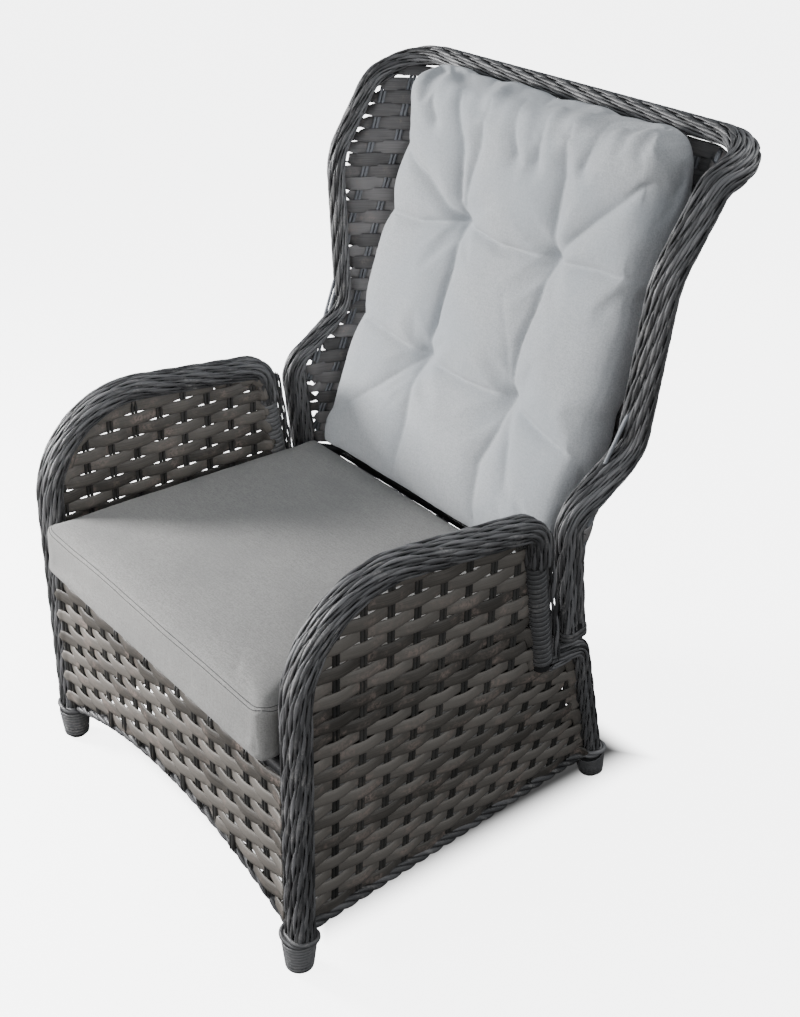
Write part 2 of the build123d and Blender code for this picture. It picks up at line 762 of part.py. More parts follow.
def spring_plane(at):
    """Plane across the spring at a distance from the rear eye: x along X, y up."""
    along = (0, -math.cos(spring_tilt), -math.sin(spring_tilt))
    origin = (0, eye_y + along[1] * at, eye_z + along[2] * at)
    return Plane(origin=origin, x_dir=(1, 0, 0), z_dir=along)


def spring_point(at, rise):
    """Y and Z of a point beside the spring's middle line."""
    point = spring_plane(at).from_local_coords((0, rise, 0))
    return point.Y, point.Z


def length_on_spring(start, length, diameter):
    solid = Cylinder(diameter / 2, length, align=(Align.CENTER, Align.CENTER, Align.MIN))
    return spring_plane(start) * solid


def block_on_spring(start, length, x_range, rise_range):
    """Box along the spring between two x values and two heights off its middle line."""
    solid = box_between((x_range[0], rise_range[0], 0), (x_range[1], rise_range[1], length))
    return spring_plane(start) * solid


strut_y, strut_z = spring_point(strut_tube_at, 0)
strut_line = cross_line(side_rail_x, strut_y, strut_z)
toggle_outer_x = -head_width / 2 - running_gap - toggle_thickness
toggle_middle_x = toggle_outer_x + toggle_thickness / 2


def build_gas_spring():
    strut = tube(strut_line, strut_tube_d, (0, 1, 0)) - side_rail_solid - mirrored(side_rail_solid)
    keep("strut_cross_tube", largest(strut))

    lever_rest = math.radians(lever_rest_deg)
    pin_y = pivot_y + lever_arm * math.sin(lever_rest)
    pin_z = pivot_z - lever_arm * math.cos(lever_rest)
    plate = link(lever_plate_inner_x, lever_plate_inner_x + lever_plate, lever_plate_width,
                 (lower_tube_y, lower_tube_z), (lever_top_bend_y, lever_top_bend_z),
                 (lever_low_bend_y, lever_low_bend_z), (pin_y, pin_z))
    plate = plate - rod(cross_line(panel_half_width, lower_tube_y, lower_tube_z), lower_tube_d, (0, 1, 0))
    plate = largest(plate)
    spring_pin = pin_along_x(-spring_pin_half, spring_pin_half, pin_y, pin_z, spring_pin_d)
    keep("spring_lever", plate + mirrored(plate) + spring_pin)

    half_eye = spring_eye_width / 2
    eye = pin_along_x(-half_eye, half_eye, eye_y, eye_z, spring_eye_d)
    barrel = length_on_spring(cylinder_start, cylinder_length, cylinder_d)
    barrel = barrel - length_on_spring(cylinder_start + cylinder_end, cylinder_length - cylinder_end * 2,
                                       cylinder_d - cylinder_wall * 2)
    barrel = barrel + eye + length_on_spring(0, cylinder_start, neck_d)
    barrel = barrel - pin_along_x(-head_width, head_width, eye_y, eye_z, spring_eye_bore)
    barrel = barrel - length_on_spring(piston_at, rod_end - piston_at, rod_bore_d)
    keep("gas_spring_cylinder", largest(barrel))

    spring_rod = length_on_spring(piston_at, rod_end - piston_at, rod_d)
    keep("gas_spring_rod", spring_rod + length_on_spring(piston_at, piston_length, piston_d))

    half_width = head_width / 2
    half_height = head_height / 2
    head = block_on_spring(head_start, head_length, (-half_width, half_width), (-half_height, half_height))
    tang_start = head_start + head_length
    tang = block_on_spring(tang_start, strut_tube_at - tang_start, (-tang_width / 2, tang_width / 2),
                           (-tang_height / 2, tang_height / 2))
    ear_low = -half_height - cable_ear_height
    ear_inner_x = toggle_middle_x + cable_ear_width / 2
    ear = block_on_spring(head_start, cable_ear, (ear_inner_x - cable_ear_width, ear_inner_x),
                          (ear_low, -half_height))
    ear = ear + block_on_spring(head_start, cable_ear, (ear_inner_x - cable_ear_width, -half_width),
                                (ear_low, half_height))
    stud_y, stud_z = spring_point(toggle_at, toggle_rise)
    stud_end = toggle_outer_x - running_gap
    stud = pin_along_x(stud_end, -half_width, stud_y, stud_z, toggle_pin_d)
    stud = stud + pin_along_x(stud_end - toggle_cap, stud_end, stud_y, stud_z, toggle_cap_d)
    head = head + tang + ear + stud - spring_rod - rod(strut_line, strut_tube_d, (0, 1, 0))
    keep("release_head", largest(head))

    toggle = link(toggle_outer_x, toggle_outer_x + toggle_thickness, toggle_width,
                  (stud_y, stud_z), spring_point(toggle_at, -toggle_drop))
    keep("release_toggle", toggle - pin_along_x(stud_end, 0, stud_y, stud_z, toggle_bore_d))


# Release lever, its bush and the cable to the toggle, on the right hand side

panel_outer_x = side_panel_x + weave_thickness / 2
flange_outer_x = panel_outer_x + lever_flange
crank_outer_x = lever_bush_inner_x - running_gap
crank_inner_x = crank_outer_x - crank_thickness
crank_middle_x = crank_outer_x - crank_thickness / 2
cable_low_z = lever_z - crank_length


def lever_pin(outer_x, inner_x, diameter):
    """Round bar on the lever's axis, on the right hand side."""
    return pin_along_x(-outer_x, -inner_x, lever_y, lever_z, diameter)


def build_release():
    stop_y = lever_y + bracket_reach
    bush = lever_pin(panel_outer_x, lever_bush_inner_x, lever_bush_d)
    bush = bush + lever_pin(flange_outer_x, panel_outer_x, lever_flange_d)
    plate_inner_x = lever_bush_inner_x
    bracket = link(-plate_inner_x - bracket_thickness, -plate_inner_x, bracket_width,
                   (lever_y, lever_z), (stop_y, cable_low_z))
    stop = box_between((-plate_inner_x - bracket_thickness, stop_y, cable_low_z - bracket_width / 2),
                       (-crank_inner_x, stop_y + bracket_thickness, cable_low_z + bracket_width / 2))
    bush = bush + bracket + stop - mirrored(side_rail_solid)
    keep("lever_bush", largest(bush - lever_pin(flange_outer_x, crank_inner_x, lever_bore_d)))

    handle_inner_x = flange_outer_x + running_gap
    handle_outer_x = handle_inner_x + handle_thickness
    handle = link(-handle_outer_x, -handle_inner_x, handle_width,
                  (lever_y, lever_z), (lever_y - handle_length, lever_z))
    crank = link(-crank_outer_x, -crank_inner_x, crank_width, (lever_y, lever_z), (lever_y, cable_low_z))
    keep("release_lever", handle + crank + lever_pin(handle_outer_x, crank_inner_x, lever_shaft_d))

    ear_y, ear_z = spring_point(head_start, -toggle_drop)
    turn_z = ear_z + (cable_turn_y - ear_y) * math.tan(spring_tilt)
    cable_line = FilletPolyline(
        (toggle_middle_x, ear_y, ear_z), (toggle_middle_x, cable_turn_y, turn_z),
        (-crank_middle_x, cable_turn_y, cable_low_z),
        (-crank_middle_x, stop_y + bracket_thickness, cable_low_z),
        radius=[cable_bend, cable_bend])
    keep("release_cable", rod(cable_line, cable_d))


feet_solid = build_feet()
build_frame()
build_bottom_edges()
build_braids()
build_panels()
build_seat()
build_hinge()
build_back()
build_back_cushion()
build_gas_spring()
build_release()

for name, shape in pieces.items():
    placed = Pos(0, -origin_y, 0) * shape
    export_step(placed, os.path.join("parts", name + ".step"))
    box = placed.bounding_box()
    low = [round(value, 1) for value in box.min]
    high = [round(value, 1) for value in box.max]
    print(name, shape.is_valid, len(shape.solids()), low, high)
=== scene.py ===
import json
import math
import random

import bmesh
import bpy
import numpy as np
from mathutils import Matrix, Vector, noise
from mathutils.bvhtree import BVHTree


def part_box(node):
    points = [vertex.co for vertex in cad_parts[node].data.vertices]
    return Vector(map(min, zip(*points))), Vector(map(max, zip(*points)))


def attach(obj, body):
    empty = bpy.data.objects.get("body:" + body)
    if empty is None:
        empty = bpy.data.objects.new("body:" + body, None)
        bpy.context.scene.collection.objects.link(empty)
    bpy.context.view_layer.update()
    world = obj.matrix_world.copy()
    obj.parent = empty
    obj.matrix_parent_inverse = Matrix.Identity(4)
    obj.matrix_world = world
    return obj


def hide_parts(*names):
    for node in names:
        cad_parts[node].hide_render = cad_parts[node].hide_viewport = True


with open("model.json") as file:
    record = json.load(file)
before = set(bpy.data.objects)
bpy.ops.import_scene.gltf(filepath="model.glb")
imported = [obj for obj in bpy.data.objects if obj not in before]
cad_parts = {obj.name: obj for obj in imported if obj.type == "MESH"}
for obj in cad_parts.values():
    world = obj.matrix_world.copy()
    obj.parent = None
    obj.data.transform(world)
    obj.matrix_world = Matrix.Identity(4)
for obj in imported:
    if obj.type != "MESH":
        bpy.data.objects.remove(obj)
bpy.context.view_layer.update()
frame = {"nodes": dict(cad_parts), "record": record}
nodes = frame["nodes"]
scene = bpy.context.scene
rng = random.Random(7)
mm = 0.001
rearShift = 64.1          # the drawing's Y zero lies this far behind the chair's middle
hands = (("left", 1), ("right", -1))


def at(x, y, z):
    return np.array((x * mm, (y - rearShift) * mm, z * mm))


def onSide(point, side):
    return at(point[0] * side, *point[1:])


def unit(v):
    return v / np.maximum(np.linalg.norm(v, axis=-1, keepdims=True), 1e-12)


def between(value, low, high):
    # 0 below low, 1 above high, straight between them
    return np.clip((value - low) / (high - low), 0, 1)


# Materials: shared groups first

def newGroup(name, colours, amounts, outputs):
    group = bpy.data.node_groups.new(name, "ShaderNodeTree")
    for labels, kind, way in ((colours, "Color", "INPUT"), (amounts, "Float", "INPUT"),
                              (("Color",), "Color", "OUTPUT"), (outputs, "Float", "OUTPUT")):
        for label in labels:
            group.interface.new_socket(name=label, in_out=way, socket_type="NodeSocket" + kind)
    return group, group.nodes.new("NodeGroupInput"), group.nodes.new("NodeGroupOutput")


def feed(tree, node, inputs):
    # inputs by label or place: a plain value is set on its socket, an output is linked to it
    for label, value in inputs.items():
        if isinstance(value, (int, float, tuple)):
            node.inputs[label].default_value = value
        elif value is not None:
            tree.links.new(value, node.inputs[label])
    return node


def newNode(tree, kind, inputs):
    return feed(tree, tree.nodes.new("ShaderNode" + kind), inputs)


def mathNode(tree, operation, a, b=None, clamp=False):
    node = newNode(tree, "Math", {0: a, 1: b})
    node.operation = operation
    node.use_clamp = clamp
    return node.outputs[0]


def times(tree, a, b, clamp=False):
    return mathNode(tree, "MULTIPLY", a, b, clamp)


def plus(tree, a, b, clamp=False):
    return mathNode(tree, "ADD", a, b, clamp)


def mixed(tree, factor, a, b):
    node = newNode(tree, "Mix", {0: factor, 6: a, 7: b})
    node.data_type = "RGBA"
    return node.outputs[2]


def ramp(tree, value, low, high):
    node = newNode(tree, "MapRange", {"Value": value, "From Min": low, "From Max": high})
    node.interpolation_type = "SMOOTHSTEP"
    return node.outputs["Result"]


def noiseNode(tree, vector, scale, detail=2.0, rough=0.5):
    inputs = {"Vector": vector, "Scale": scale, "Detail": detail, "Roughness": rough}
    return newNode(tree, "TexNoise", inputs).outputs["Fac"]


def threadNoise(tree, vector, stretch, rough):
    # noise drawn out along threads
    drawn = newNode(tree, "Mapping", {"Vector": vector, "Scale": stretch})
    return noiseNode(tree, drawn.outputs["Vector"], 1.0, 2.0, rough)


def parted(tree, vector):
    return newNode(tree, "SeparateXYZ", {0: vector}).outputs


def objectPlace(tree):
    return newNode(tree, "TexCoord", {}).outputs["Object"]


strandGrain = {
    "spread": (9.0, 7.0, 60.0),      # how fast streaks change along, across and from strand to strand
    "streaks": (2.2, 3.0, 0.6), "cloud": (9.0, 2.0), "grit": (240.0, 3.0, 0.65), "patch": (22.0, 3.0, 0.6),
    "chanceShare": 0.45, "streakShare": 0.5, "cloudShare": 0.35, "toneRange": (0.25, 0.95),
    "patchRange": (0.48, 0.72), "crownRange": (0.1, 0.9), "gritRange": (0.36, 0.62),
    "rough": 0.4, "roughGrit": 0.22, "streakHeight": 0.7, "gritHeight": 0.3,
}


def makeStrandGroup():
    # strand attribute: metres along, place across from -1 to 1, chance value of the strand
    v = strandGrain
    group, put, out = newGroup("strandFinish", ("Dark", "Light", "Worn"), ("Wear",), ("Roughness", "Height"))
    attribute = newNode(group, "Attribute", {})
    attribute.attribute_name = "strand"
    along, across, chance = parts = parted(group, attribute.outputs["Vector"])
    place = objectPlace(group)
    lines = {i: times(group, parts[i], spread) for i, spread in enumerate(v["spread"])}
    streaks = noiseNode(group, newNode(group, "CombineXYZ", lines).outputs[0], *v["streaks"])
    cloud = noiseNode(group, place, *v["cloud"])
    grit = noiseNode(group, place, *v["grit"])
    tone = plus(group, times(group, chance, v["chanceShare"]), times(group, streaks, v["streakShare"]))
    tone = plus(group, tone, times(group, cloud, v["cloudShare"]))
    base = mixed(group, ramp(group, tone, *v["toneRange"]), put.outputs["Dark"], put.outputs["Light"])
    # partly real wear, partly painted highlight: the worn colour is mixed in along the crown of each strand,
    # in noise patches, as much as Wear allows
    crown = mathNode(group, "SUBTRACT", 1.0, mathNode(group, "ABSOLUTE", across), True)
    patch = ramp(group, noiseNode(group, place, *v["patch"]), *v["patchRange"])
    wearAndHighlight = times(group, times(group, patch, ramp(group, crown, *v["crownRange"])),
                ramp(group, grit, *v["gritRange"]))
    wearAndHighlight = times(group, wearAndHighlight, put.outputs["Wear"], True)
    feed(group, out, {
        "Color": mixed(group, wearAndHighlight, base, put.outputs["Worn"]),
        "Roughness": plus(group, v["rough"], times(group, grit, v["roughGrit"])),
        "Height": plus(group, times(group, streaks, v["streakHeight"]), times(group, grit, v["gritHeight"]))})
    return group


clothGrain = {
    "upright": (900.0, 900.0, 60.0), "level": (60.0, 400.0, 900.0), "slub": (260.0, 260.0, 14.0),
    "grain": (420.0, 2.0, 0.7), "cloud": (5.0, 3.0, 0.55), "threadRange": (0.36, 0.64),
    "slubRange": (0.5, 0.75), "slubShare": 0.35, "cloudRange": (0.4, 0.7), "cloudShare": 0.45,
    "threadHeight": 0.6, "grainHeight": 0.4,
}


def makeClothGroup():
    # plain woven cloth: fine threads both ways, slubs and soft clouds
    v = clothGrain
    group, put, out = newGroup("clothWeave", ("Base", "Thread", "Cloud"), ("Speck",), ("Height",))
    place = objectPlace(group)
    upright = threadNoise(group, place, v["upright"], 0.6)
    level = threadNoise(group, place, v["level"], 0.6)
    slub = threadNoise(group, place, v["slub"], 0.5)
    grain = noiseNode(group, place, *v["grain"])
    cloud = noiseNode(group, place, *v["cloud"])
    threads = times(group, plus(group, upright, level), 0.5)
    mask = ramp(group, times(group, plus(group, threads, grain), 0.5), *v["threadRange"])
    mask = times(group, mask, put.outputs["Speck"], True)
    base = mixed(group, mask, put.outputs["Base"], put.outputs["Thread"])
    slubs = times(group, ramp(group, slub, *v["slubRange"]), v["slubShare"])
    base = mixed(group, slubs, base, put.outputs["Thread"])
    clouds = times(group, ramp(group, cloud, *v["cloudRange"]), v["cloudShare"])
    feed(group, out, {
        "Color": mixed(group, clouds, base, put.outputs["Cloud"]),
        "Height": plus(group, times(group, threads, v["threadHeight"]),
                       times(group, grain, v["grainHeight"]))})
    return group


solidGrain = {"cloud": (14.0, 4.0, 0.6), "grit": (380.0, 3.0, 0.6), "cloudRange": (0.5, 0.75),
              "gritRange": (0.4, 0.6), "roughGrit": 0.2}


def makeSolidGroup():
    # paint, plastic and metal: soft mottling, fine grit and rubbed patches
    v = solidGrain
    group, put, out = newGroup("surfaceWear", ("Base", "Rubbed"), ("Wear", "Smooth"), ("Roughness", "Height"))
    place = objectPlace(group)
    cloud = noiseNode(group, place, *v["cloud"])
    grit = noiseNode(group, place, *v["grit"])
    patch = times(group, ramp(group, cloud, *v["cloudRange"]), put.outputs["Wear"], True)
    patch = times(group, patch, ramp(group, grit, *v["gritRange"]))
    feed(group, out, {
        "Color": mixed(group, patch, put.outputs["Base"], put.outputs["Rubbed"]), "Height": grit,
        "Roughness": plus(group, put.outputs["Smooth"], times(group, grit, v["roughGrit"]), True)})
    return group


strandGroup = makeStrandGroup()
clothGroup = makeClothGroup()
solidGroup = makeSolidGroup()


def principled(name):
    material = bpy.data.materials.new(name)
    material.use_nodes = True
    return material, material.node_tree, material.node_tree.nodes["Principled BSDF"]


def newMaterial(name, group, *values, bump=0.2, depth=0.0004, rough=None, metal=0.0, sheen=0.0, coat=0.0):
    # values go to the group's inputs in their order
    material, tree, shader = principled(name)
    node = newNode(tree, "Group", {})
    node.node_tree = group
    feed(tree, node, {i: (*v, 1) if isinstance(v, tuple) else v for i, v in enumerate(values)})
    relief = newNode(tree, "Bump", {"Strength": bump, "Distance": depth, "Height": node.outputs["Height"]})
    feed(tree, shader, {
        "Base Color": node.outputs["Color"], "Normal": relief.outputs["Normal"],
        "Roughness": node.outputs["Roughness"] if rough is None else rough, "Metallic": metal,
        "Sheen Weight": sheen, "Sheen Roughness": 0.6, "Coat Weight": coat, "Coat Roughness": 0.35})
    return material


cushionCloth = {"bump": 0.5, "depth": 0.0008, "rough": 0.88, "sheen": 0.2}
finish = {
    # in the strand finishes the third colour is the worn colour, which also paints a highlight on each
    # strand's crown; the number after it sets how much shows
    "braid": newMaterial("braidStrand", strandGroup, (0.015, 0.0148, 0.0155), (0.185, 0.183, 0.187),
        (0.45, 0.43, 0.41), 0.6, bump=0.5, depth=0.0005, coat=0.25),
    "weft": newMaterial("weftStrand", strandGroup, (0.045, 0.041, 0.036), (0.21, 0.192, 0.172),
        (0.4, 0.31, 0.27), 0.7, bump=0.45, depth=0.0005),
    "wing": newMaterial("wingStrand", strandGroup, (0.06, 0.058, 0.058), (0.25, 0.24, 0.24),
        (0.32, 0.26, 0.23), 0.5, bump=0.4, depth=0.0005),
    "stake": newMaterial("stakeRod", strandGroup, (0.02, 0.02, 0.019), (0.06, 0.058, 0.055),
        (0.2, 0.16, 0.13), 0.4, bump=0.3),
    # painted highlight: the back's stakes are a light bluish grey where the other stakes are near black
    "wingStake": newMaterial("wingStake", strandGroup, (0.1, 0.105, 0.115), (0.24, 0.25, 0.27),
        (0.35, 0.35, 0.36), 0.4, bump=0.3),
    "core": newMaterial("darkCore", solidGroup, (0.02, 0.02, 0.021), (0.04, 0.04, 0.04), 0.3, 0.6),
    "seat": newMaterial("seatCloth", clothGroup, (0.215, 0.208, 0.198), (0.36, 0.35, 0.335),
        (0.19, 0.188, 0.182), 0.9, **cushionCloth),
    "stitch": newMaterial("stitchThread", clothGroup, (0.05, 0.05, 0.05), (0.1, 0.1, 0.1), (0.06, 0.06, 0.06),
        0.9, bump=0.3, rough=0.9),
    "back": newMaterial("backCloth", clothGroup, (0.32, 0.335, 0.35), (0.47, 0.482, 0.495),
        (0.33, 0.365, 0.4), 0.9, **cushionCloth),
    "paint": newMaterial("blackPaint", solidGroup, (0.025, 0.025, 0.026), (0.08, 0.08, 0.08), 0.2, 0.35),
    "steel": newMaterial("bareSteel", solidGroup, (0.5, 0.5, 0.51), (0.62, 0.62, 0.62), 0.5, 0.22, metal=1.0),
    "blackSteel": newMaterial("blackSteel", solidGroup, (0.035, 0.035, 0.037), (0.16, 0.16, 0.165), 0.4, 0.32,
        metal=0.3),
    "plastic": newMaterial("mouldedPlastic", solidGroup, (0.018, 0.018, 0.019), (0.05, 0.05, 0.05), 0.3,
        0.38),
    "webbing": newMaterial("seatWebbing", clothGroup, (0.02, 0.02, 0.021), (0.05, 0.05, 0.052),
        (0.02, 0.02, 0.02), 0.8, bump=0.5, depth=0.0008, rough=0.8),
}
print("materials made")


# Lines and strands

def bentLine(points, bends, step):
    points = [np.array(p, float) for p in points]
    run = [points[0]]
    for before, corner, after, bend in zip(points, points[1:], points[2:], bends):
        u = unit(before - corner)
        v = unit(after - corner)
        half = math.acos(float(np.clip(u @ v, -1, 1))) / 2
        reach = bend / math.tan(half)
        middle = corner + unit(u + v) * bend / math.sin(half)
        first = corner + u * reach - middle
        last = corner + v * reach - middle
        sweep = math.pi - 2 * half
        count = max(3, int(sweep * bend / step))
        for i in range(count + 1):
            t = i / count
            part = first * math.sin((1 - t) * sweep) + last * math.sin(t * sweep)
            run.append(middle + part / math.sin(sweep))
    run.append(points[-1])
    return evenly(np.array(run), step)


def lengths(line):
    return np.concatenate(([0.0], np.cumsum(np.linalg.norm(np.diff(line, axis=0), axis=1))))


def spread(spots, marks, line):
    # places on a line at the given marks of its measure
    return np.stack([np.interp(spots, marks, line[:, i]) for i in range(line.shape[1])], axis=-1)


def evenly(line, step):
    run = lengths(line)
    return spread(np.linspace(0, run[-1], max(3, int(round(run[-1] / step)) + 1)), run, line)


def closed(ring):
    return np.concatenate((ring, ring[:2]))


def tangents(line):
    return unit(np.gradient(line, axis=0))


def carried(line, side):
    # frames turned as little as possible along the line
    ahead = tangents(line)
    sides = []
    side = np.array(side, float)
    for t in ahead:
        side = side - t * (side @ t)
        side = side / np.linalg.norm(side)
        sides.append(side)
    sides = np.array(sides)
    return sides, np.cross(ahead, sides)


def startStrands():
    bm = bmesh.new()
    bm.verts.layers.float_vector.new("strand")
    return bm


def layTube(bm, line, across, up, chance):
    # across and up are the offsets of each point of the section; both ends draw in to a point
    layer = bm.verts.layers.float_vector["strand"]
    count = len(line)
    ring = across.shape[1]
    made = bmesh.ops.create_grid(bm, x_segments=count - 1, y_segments=ring, size=1.0)["verts"]
    body = across + up
    body[0] = 0
    body[-1] = 0
    shape = line[:, None, :] + np.concatenate((body, body[:, :1]), axis=1)
    run = lengths(line)
    turn = np.cos(np.linspace(0, 2 * math.pi, ring + 1))
    for i, vertex in enumerate(made):
        j, k = divmod(i, count)
        vertex.co = shape[k, j]
        vertex[layer] = (run[k], turn[j], chance)


def squared(wave, power):
    return np.sign(wave) * np.abs(wave) ** power


def layStrand(bm, line, sides, ups, wide, thick, ring=8, chance=None, square=1.0):
    turn = np.linspace(0, 2 * math.pi, ring, endpoint=False)
    across = sides[:, None, :] * (squared(np.cos(turn), square) * wide)[None, :, None]
    up = ups[:, None, :] * (squared(np.sin(turn), square) * thick)[None, :, None]
    layTube(bm, line, across, up, rng.random() if chance is None else chance)


def placed(name, data):
    made = bpy.data.objects.new(name, data)
    scene.collection.objects.link(made)
    return made


def meshed(name, bm):
    mesh = bpy.data.meshes.new(name)
    bm.to_mesh(mesh)
    bm.free()
    return placed(name, mesh)


def dress(piece, material, body, slot, *replaced):
    mesh = piece.data
    mesh.materials.clear()
    mesh.materials.append(finish[material])
    mesh.polygons.foreach_set("use_smooth", [True] * len(mesh.polygons))
    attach(piece, body)
    if replaced:
        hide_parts(*replaced)
    print(piece.name, len(mesh.polygons), "faces")


def finishStrands(bm, name, material, *replaced, body="base", slot="wicker"):
    bmesh.ops.remove_doubles(bm, verts=bm.verts, dist=1e-7)
    bmesh.ops.recalc_face_normals(bm, faces=bm.faces)
    dress(meshed(name, bm), material, body, slot, *replaced)


def outlineRing(width, depth, bow, inset, count, startDeg, turnDeg=0, cornerSteps=12):
    # points spaced evenly round a rounded rectangle, turned about its middle, and the way out at each
    w, d, r = width / 2 - inset, depth / 2 - inset, bow - inset
    run = []
    for cx, cy, start in ((w - r, d - r, 0), (r - w, d - r, 90), (r - w, r - d, 180), (w - r, r - d, 270)):
        for i in range(cornerSteps + 1):
            a = math.radians(start + 90 * i / cornerSteps)
            run.append((cx + r * math.cos(a), cy + r * math.sin(a)))
    turn = math.radians(turnDeg)
    run = np.array(run) @ np.array(((math.cos(turn), math.sin(turn)), (-math.sin(turn), math.cos(turn))))
    ring = np.concatenate((run, run[:1]))
    marks = lengths(ring)
    total = marks[-1]
    angles = np.arctan2(run[:, 1], run[:, 0])
    first = marks[int(np.argmin(np.abs(np.angle(np.exp(1j * (angles - math.radians(startDeg)))))))]
    spots = (first + total * np.arange(count) / count) % total
    points = spread(spots, marks, ring)
    way = unit(spread((spots + 0.5) % total, marks, ring) - points)
    return points * mm, np.stack((way[:, 1], -way[:, 0]), axis=1)


def layRopes(bm, line, sides, ups, rings, ways, look):
    # rings and ways hold each rope's place in the section; a rope is two strands turned about each other
    run = lengths(line)
    for rope in range(rings.shape[1]):
        place = rings[:, rope]
        way = ways[:, rope]
        out = sides * way[:, :1] + ups * way[:, 1:]
        middle = line + sides * place[:, :1] + ups * place[:, 1:]
        bow = unit(np.cross(tangents(middle), out))
        drift = look["drift"] * math.sin(rope * look["driftTurn"]) + look["lag"] * rope
        for half in range(2):
            wobble = look["wobble"] * np.sin(run / look["wobbleRun"] + rope * look["wobbleTurn"] + half)
            turn = 2 * math.pi * run / look["pitch"] + math.pi * half + drift + wobble
            c = np.cos(turn)[:, None]
            s = np.sin(turn)[:, None]
            strand = middle + out * c * look["lift"] + bow * s * look["swing"]
            wide = unit(bow * c - out * s * look["tilt"])
            thick = unit(np.cross(wide, tangents(strand)))
            layStrand(bm, strand, wide, thick, look["wide"], look["thick"], look["ring"])


def layCore(bm, line, sides, ups, rings):
    # a plain dark body inside the strands, with half as many rings
    line, sides, ups, rings = line[::2], sides[::2], ups[::2], rings[::2]
    layTube(bm, line, sides[:, None, :] * rings[:, :, :1], ups[:, None, :] * rings[:, :, 1:], 0.0)


def along(line, ring, way):
    # the same section at every point of a line
    return np.repeat(ring[None], len(line), axis=0), np.repeat(way[None], len(line), axis=0)


# Arm braids (front post, arm and the top of the rear post in one bend) and rear legs over the ledge

ropeLook = {"pitch": 0.098, "lift": 0.0027, "swing": 0.0025, "wide": 0.0032, "thick": 0.0019, "lag": 1.45,
            "ring": 8, "tilt": 0.55, "drift": 0.35, "driftTurn": 2.4, "wobble": 0.12, "wobbleRun": 0.071,
            "wobbleTurn": 1.7}
lineStep = 6.8 * mm
coreSides = 16
armBraid = {
    "points": ((335, -308, 60), (335, -308, 628), (335, 94, 586), (335, 105, 520)), "bends": (156, 32),
    "outline": (43.5, 33.0, 13.0), "shift": (3.4, -0.75), "ropes": 16, "inset": 2.6, "core": 6.0,
}


legBraid = {
    "points": ((335, 140, 337), (331, 212, 337), (287, 317, 57)), "bends": (26,),
    "outline": (28.0, 28.0, 14.0), "shift": (0.0, 0.0), "ropes": 11, "inset": 0.0, "core": 1.8,
}


def buildBraid(name, side, look):
    line = bentLine([onSide(p, side) for p in look["points"]], [b * mm for b in look["bends"]], lineStep)
    sides, ups = carried(line, (1, 0, 0))
    outward, up = look["shift"]
    line = line + sides * outward * side * mm + ups * up * mm
    bm = startStrands()
    section = outlineRing(*look["outline"], look["inset"], look["ropes"], 0)
    layRopes(bm, line, sides, ups, *along(line, *section), ropeLook)
    finishStrands(bm, name + "_rope", "braid", name + "_braid")
    bm = startStrands()
    section = outlineRing(*look["outline"], look["core"], coreSides, 0)
    layCore(bm, line, sides, ups, along(line, *section)[0])
    finishStrands(bm, name + "_core", "core")


for kind, look in (("_arm", armBraid), ("_leg", legBraid)):
    for name, side in hands:
        buildBraid(name + kind, side, look)

# Rear arm posts: flat wrap and the narrow braid behind it

postWrap = {"low": (335, 134, 341.5), "high": (335, 95, 580), "radii": (15.6, 15.6), "pitch": 8.6,
            "wide": 4.5, "thick": 0.8, "turnSteps": 18}
postBraid = {"spots": (-12.6, -4.2, 4.2, 12.6), "post": ((335, 94, 586), (335, 134, 340)), "behind": 21.0,
             "ends": (341, 574)}


def layCoil(bm, low, high, look):
    # flat strand wound round a straight core
    axis = high - low
    tall = np.linalg.norm(axis)
    turns = tall / (look["pitch"] * mm)
    t = np.linspace(0, 1, int(turns * look["turnSteps"]) + 1)
    ahead = axis / tall
    x = unit(np.cross(ahead, (0, 1, 0)))
    y = np.cross(ahead, x)
    angle = 2 * math.pi * turns * t
    out = np.cos(angle)[:, None] * x + np.sin(angle)[:, None] * y
    first, last = look["radii"]
    line = low + axis * t[:, None] + out * (first + (last - first) * t)[:, None] * mm
    ups = np.repeat(ahead[None], len(t), axis=0)
    layStrand(bm, line, ups, out, look["wide"] * mm, look["thick"] * mm, ring=6)


def atLevel(ends, z):
    # point of a straight line at a height
    high, low = ends
    t = (high[2] - z) / (high[2] - low[2])
    return [a + (b - a) * t for a, b in zip(high, low)]


for name, side in hands:
    bm = startStrands()
    layCoil(bm, onSide(postWrap["low"], side), onSide(postWrap["high"], side), postWrap)
    finishStrands(bm, name + "_post_coil", "braid", name + "_post_wrap")
    bm = startStrands()
    ends = [atLevel(postBraid["post"], z) for z in postBraid["ends"]]
    line = evenly(np.array([at(x * side, y + postBraid["behind"], z) for x, y, z in ends]), lineStep)
    sides, ups = carried(line, (1, 0, 0))
    ring = np.array([(spot * mm, 0.0) for spot in postBraid["spots"]])
    layRopes(bm, line, sides, ups, *along(line, ring, np.array([(0.0, 1.0)] * len(ring))), ropeLook)
    finishStrands(bm, name + "_post_rope", "braid", name + "_post_braid")

# Twisted bands along the bottom edges, which loop round the legs just above the feet

rearLeg = ((331, 212, 337), (278, 334, 0))
bottomBand = {"twist": 0.085, "offset": 5.0, "strand": 4.8, "strands": 3, "flat": 0.9, "step": 7}
bottomEdge = {"z": 63, "frontY": -308, "frontHalf": 322, "frontRise": 68, "rearInset": 8, "rearRise": 40,
              "sideX": 333, "sideY": -300, "sideOut": 1, "sideShort": 6}


def layTwist(bm, line, look):
    sides, ups = carried(line, (0, 0, 1))
    run = lengths(line)
    for k in range(look["strands"]):
        turn = 2 * math.pi * (run / look["twist"] + k / look["strands"])
        out = sides * np.cos(turn)[:, None] + ups * np.sin(turn)[:, None]
        strand = line + out * look["offset"] * mm
        around = unit(np.cross(tangents(strand), out))
        thick = look["strand"] * mm
        layStrand(bm, strand, around, out, thick, thick * look["flat"])


